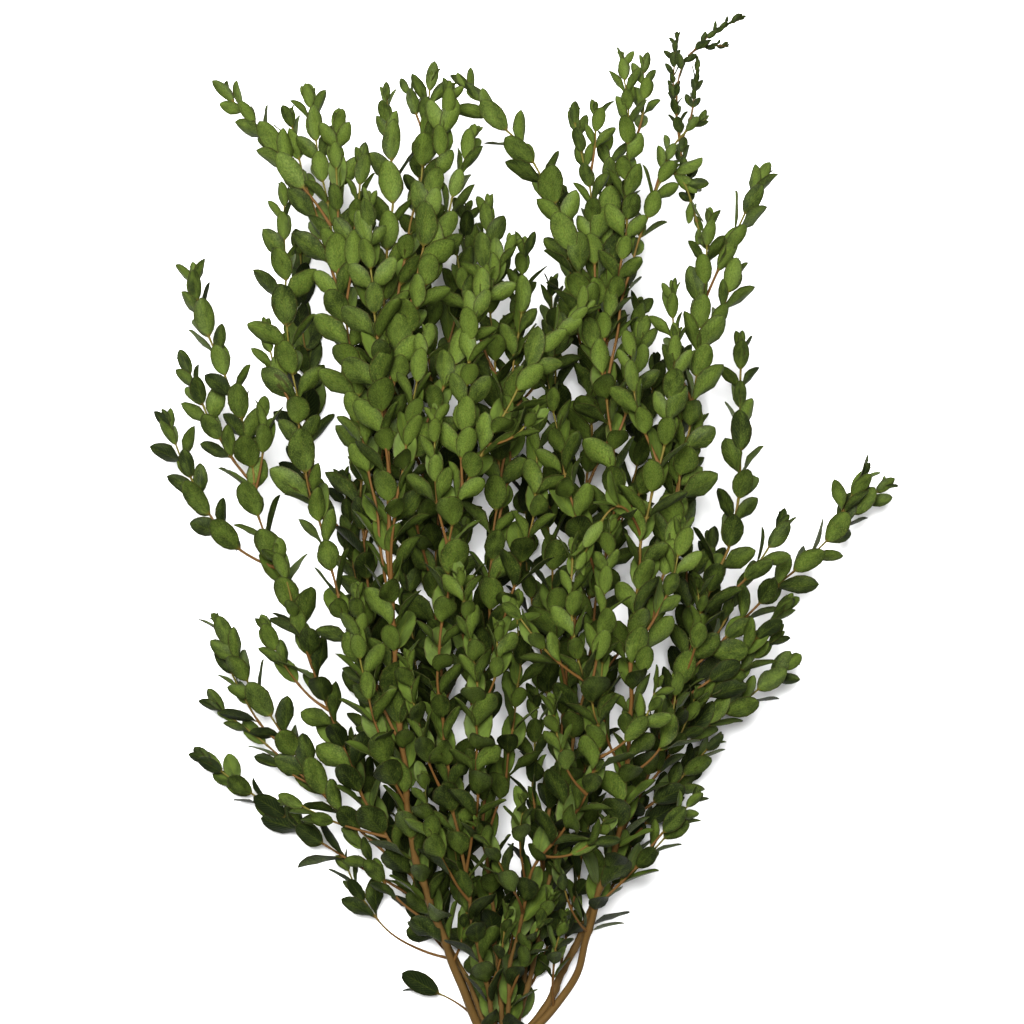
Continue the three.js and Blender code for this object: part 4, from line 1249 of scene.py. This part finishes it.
class EucalyptusLeafSettings(PropertyGroup):
    thickness: length_property("Thickness", "Thickness of a blade at its middle", 0.00045)
    midrib: length_property("Midrib", "How far the midrib stands out of a blade", 0.0004)
    fold: share_property("Fold", "How far a blade's edges rise, as a share of its width", 0.1)
    curl: share_property("Curl", "How far a blade's tip bends back, as a share of its length", 0.07)
    wave: share_property("Wave", "How far a blade's edge waves, as a share of its width", 0.03)
    dark_green: colour_property("Dark green", "The darkest leaves", (0.0058, 0.0097, 0.0023))
    light_green: colour_property("Light green", "The lightest leaves", (0.064, 0.093, 0.0165))
    young_green: colour_property("Young green", "Leaves at the tips", (0.056, 0.079, 0.0135))
    underside: colour_property("Inner side", "The blade's side towards its shoot", (0.032, 0.046, 0.0085))
    speckle: colour_property("Speckles", "Small yellowish marks on a blade", (0.08, 0.092, 0.02))
    vein: colour_property("Veins", "Midrib and side veins", (0.055, 0.07, 0.01))
    rim: colour_property("Rim", "The dry edge of a blade, and its blemishes", (0.018, 0.015, 0.004))
    stalk: colour_property("Stalk", "The short stalk of a leaf", (0.075, 0.05, 0.01))


class EucalyptusTwigSettings(PropertyGroup):
    stem_radius: length_property("Stem radius", "Radius of a stem at its cut end", 0.0031)
    stem_tip_radius: length_property("Stem tip radius", "Radius of a stem at its tip", 0.0006)
    shoot_radius: length_property("Shoot radius", "Radius of a side shoot at its fork", 0.00095)
    shoot_tip_radius: length_property("Shoot tip radius", "Radius of a side shoot at its tip", 0.00048)
    green: colour_property("Green bark", "The youngest shoots", (0.075, 0.07, 0.013))
    orange: colour_property("Orange bark", "Bark of older shoots", (0.066, 0.033, 0.009))
    brown: colour_property("Brown bark", "Bark of the oldest wood", (0.064, 0.038, 0.0115))
    pale: colour_property("Pale streaks", "Dry streaks along the bark", (0.16, 0.105, 0.032))
    cut: colour_property("Cut wood", "The cut face of a stem", (0.4, 0.28, 0.14))


class EucalyptusBandSettings(PropertyGroup):
    strands: IntProperty(name="Strands", description="Turns of the band side by side", default=3, min=1)
    colour: colour_property("Colour", "The rubber", (0.26, 0.17, 0.075))
    dust: colour_property("Dust", "Paler bloom on the rubber", (0.34, 0.27, 0.17))


class EucalyptusStageSettings(PropertyGroup):
    span: length_property("Photo span", "How much the picture shows from side to side", 0.6144)
    distance: length_property("Distance", "From the camera to the middle height of the bunch", 2.4)
    middle: length_property("Middle height", "Height of the leaves that the picture is measured at", 0.09)
    floor: length_property("Floor", "Side of the square floor", 14.0)
    floor_colour: colour_property("Floor colour", "The pale floor", (0.8, 0.8, 0.8))
    floor_shade: colour_property("Floor shade", "Its faint uneven patches", (0.7, 0.7, 0.7))
    key: power_property("Key light", "Power of the large light", 172)
    fill: power_property("Front light", "Power of the light beside the camera", 50)
    sky: FloatProperty(name="Sky", description="Strength of the even light all round", default=0.06, min=0)


def merged(parts):
    """Joins pieces of mesh, each with points, faces, marks and material number, into one set."""
    points, faces, place, tint, slots = [], [], [], [], []
    count = 0
    for part_points, part_faces, part_place, part_tint, material in parts:
        points.append(part_points)
        place.append(part_place)
        tint.append(part_tint)
        for group in part_faces:
            faces.extend((group + count).tolist())
            slots.extend([material] * len(group))
        count += len(part_points)
    return np.concatenate(points), faces, np.concatenate(place), np.concatenate(tint), slots


def add_piece(name, parts, materials, shift):
    """Makes one mesh object of the parts, in the frame's place, with smooth faces and sharp edges."""
    points, faces, place, tint, slots = merged(parts)
    mesh = bpy.data.meshes.new(name)
    mesh.from_pydata(((points + shift) * MM).tolist(), [], faces)
    for attribute, values in (("place", place), ("tint", tint)):
        mesh.attributes.new(attribute, "FLOAT_VECTOR", "POINT")
        mesh.attributes[attribute].data.foreach_set("vector", values.astype(np.float32).ravel())
    for material in materials:
        mesh.materials.append(material)
    mesh.polygons.foreach_set("material_index", slots)
    mesh.shade_smooth()
    mesh.set_sharp_from_angle(angle=math.radians(SHARP_ANGLE))
    mesh.update()
    piece = bpy.data.objects.new(name, mesh)
    bpy.context.scene.collection.objects.link(piece)
    return piece


def plan_shift():
    """From the plan's place to the frame's: the band's middle, in both."""
    low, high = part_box("tie_band")
    middle = (low + high) / 2 / MM
    return np.array([middle.x - TIE_X, middle.y - BAND_Y, 0])


class EUCALYPTUS_OT_stems(Operator):
    """Adds each cut stem with its side shoots and all its leaves, one piece a stem"""

    bl_idname = "eucalyptus.stems"
    bl_label = "Leafy stems"

    def execute(self, context):
        leaf_form = context.scene.eucalyptus_leaves
        twig_form = context.scene.eucalyptus_twigs
        twig_sets = [twigs_of(stem, index) for index, stem in enumerate(STEMS)]
        for twig in every_twig(twig_sets):
            size = FINE_SHOOT if twig["leaf_scale"] < FINE_LEAF_SCALE else 1
            radii = (twig_form.shoot_radius, twig_form.shoot_tip_radius)
            if twig["index"] == 0:
                radii = (twig_form.stem_radius, twig_form.stem_tip_radius)
            twig["fine_radius"] = tuple(radius / MM * size for radius in radii)
        leaves = all_leaves(twig_sets)
        materials = [bark_material(twig_form), leaf_material(leaf_form)]
        shift = plan_shift()
        for stem, twigs in zip(STEMS, twig_sets):
            self.add_stem(stem["name"], twigs, leaves, leaf_form, materials, shift)
        return {"FINISHED"}

    def add_stem(self, name, twigs, leaves, leaf_form, materials, shift):
        parts = []
        for twig in twigs:
            stretch = twig["fine"].length / twig["plain"].length
            pairs = [place["distance"] * stretch for place in pair_places(twig)]
            points, walls, caps, place, tint = twig_mesh(twig, pairs)
            parts.append((points, (walls, caps), place, tint, 0))
        for leaf in leaves:
            if leaf["twig"]["stem"] == twigs[0]["stem"]:
                points, faces, place, tint = leaf_mesh(leaf, leaf_form)
                parts.append((points, (faces,), place, tint, 1))
        piece = add_piece(name.replace("leafy_stem", "grown_stem"), parts, materials, shift)
        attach(piece, "root")
        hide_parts(name)


class EUCALYPTUS_OT_band(Operator):
    """Adds the band that holds the stems, as strands of rubber side by side"""

    bl_idname = "eucalyptus.band"
    bl_label = "Band"

    def execute(self, context):
        form = context.scene.eucalyptus_band
        low, high = (np.array(corner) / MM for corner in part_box("tie_band"))
        middle = (low + high) / 2
        wide = (high[1] - low[1]) / form.strands
        parts = [
            band_strand(middle, (high - low) / 2, low[1] + wide * (k + 0.5), wide, k)
            for k in range(form.strands)
        ]
        piece = add_piece("rubber_band", parts, [band_material(form)], np.zeros(3))
        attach(piece, "root")
        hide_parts("tie_band")
        return {"FINISHED"}


def band_strand(middle, half, y, wide, number):
    """One turn of the band: a rounded strip that runs round the bunch in a rounded rectangle."""
    around = 2 * math.pi * np.arange(BAND_RING) / BAND_RING
    c, s = np.cos(around), np.sin(around)
    reach = (np.abs(c) ** BAND_SQUARE + np.abs(s) ** BAND_SQUARE) ** (-1 / BAND_SQUARE)
    turn = 2 * math.pi * np.arange(BAND_SECTION) / BAND_SECTION
    inward = BAND_THICKNESS / 2 * (1 + np.cos(turn))
    shift = wide * STRAND_HALF * np.sin(turn)
    size_x = (half[0] - inward)[None, :]
    size_z = (half[2] - inward)[None, :]
    sway = BAND_SWAY * np.sin(around * 2 + number)[:, None]
    points = np.stack([
        middle[0] + (c * reach)[:, None] * size_x,
        np.clip(y + shift[None, :] + sway, middle[1] - half[1], middle[1] + half[1]),
        middle[2] + (s * reach)[:, None] * size_z,
    ], axis=-1)
    spot = np.arange(BAND_RING * BAND_SECTION).reshape(BAND_RING, BAND_SECTION)
    across, onward = np.roll(spot, -1, axis=1), np.roll(spot, -1, axis=0)
    both = np.roll(onward, -1, axis=1)
    faces = np.stack([spot, onward, both, across], axis=-1).reshape(-1, 4)
    points = points.reshape(-1, 3)
    place = points - middle
    return points, (faces,), place, np.zeros_like(place), 0


class EUCALYPTUS_OT_stage(Operator):
    """Adds the pale floor, the soft lights and the camera that looks down on the bunch"""

    bl_idname = "eucalyptus.stage"
    bl_label = "Stage"

    def execute(self, context):
        form = context.scene.eucalyptus_stage
        low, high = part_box("tie_band")
        tie = (low + high) / 2
        aim = Vector((tie.x - TIE_X * MM, tie.y + (PHOTO_MIDDLE_Y - BAND_Y) * MM, form.middle))
        self.add_floor(form)
        self.add_camera(form, aim)
        self.add_lights(form, aim)
        return {"FINISHED"}

    def add_floor(self, form):
        half = form.floor / 2
        mesh = bpy.data.meshes.new("floor")
        corners = [(-half, -half), (half, -half), (half, half), (-half, half)]
        mesh.from_pydata([(x, y, -FLOOR_DROP) for x, y in corners], [], [(0, 1, 2, 3)])
        mesh.materials.append(floor_material(form))
        floor = bpy.data.objects.new("floor", mesh)
        bpy.context.scene.collection.objects.link(floor)

    def add_camera(self, form, aim):
        data = bpy.data.cameras.new("camera")
        data.lens = data.sensor_width * form.distance / form.span
        data.clip_end = 100
        camera = bpy.data.objects.new("camera", data)
        camera.location = aim + Vector((0, 0, form.distance))
        bpy.context.scene.collection.objects.link(camera)
        bpy.context.scene.camera = camera

    def add_lights(self, form, aim):
        world = bpy.data.worlds.new("even_light")
        world.use_nodes = True
        background = world.node_tree.nodes["Background"]
        background.inputs["Color"].default_value = (1, 1, 1, 1)
        background.inputs["Strength"].default_value = form.sky
        bpy.context.scene.world = world
        bpy.context.scene.view_settings.view_transform = "Standard"
        bpy.context.scene.view_settings.look = "Medium High Contrast"
        for name, offset, size, power in (
            ("key_light", KEY_PLACE, KEY_SIZE, form.key),
            ("front_light", FRONT_PLACE, FRONT_SIZE, form.fill),
        ):
            data = bpy.data.lights.new(name, "AREA")
            data.size = size
            data.energy = power
            light = bpy.data.objects.new(name, data)
            light.location = aim + Vector(offset)
            light.rotation_euler = Vector(offset).to_track_quat("Z", "Y").to_euler()
            bpy.context.scene.collection.objects.link(light)


class EUCALYPTUS_PT_bunch(Panel):
    """Lists the bunch's operators and their settings"""

    bl_label = "Eucalyptus bunch"
    bl_space_type = "VIEW_3D"
    bl_region_type = "UI"
    bl_category = "Eucalyptus"

    def draw(self, context):
        for operator, settings in PANEL_ROWS:
            self.layout.operator(operator)
            for group in settings:
                box = self.layout.box()
                values = getattr(context.scene, group)
                for name in values.bl_rna.properties.keys():
                    if name not in ("rna_type", "name"):
                        box.prop(values, name)


PANEL_ROWS = (
    ("eucalyptus.stems", ("eucalyptus_leaves", "eucalyptus_twigs")),
    ("eucalyptus.band", ("eucalyptus_band",)),
    ("eucalyptus.stage", ("eucalyptus_stage",)),
)
SETTINGS = {
    "eucalyptus_leaves": EucalyptusLeafSettings,
    "eucalyptus_twigs": EucalyptusTwigSettings,
    "eucalyptus_band": EucalyptusBandSettings,
    "eucalyptus_stage": EucalyptusStageSettings,
}
CLASSES = (
    *SETTINGS.values(), EUCALYPTUS_OT_stems, EUCALYPTUS_OT_band, EUCALYPTUS_OT_stage, EUCALYPTUS_PT_bunch,
)


def register():
    for cls in CLASSES:
        bpy.utils.register_class(cls)
    for name, settings in SETTINGS.items():
        setattr(bpy.types.Scene, name, PointerProperty(type=settings))


def unregister():
    for name in SETTINGS:
        delattr(bpy.types.Scene, name)
    for cls in reversed(CLASSES):
        bpy.utils.unregister_class(cls)


def main():
    register()
    bpy.ops.eucalyptus.stems()
    bpy.ops.eucalyptus.band()
    bpy.ops.eucalyptus.stage()


if __name__ == "__main__":
    main()
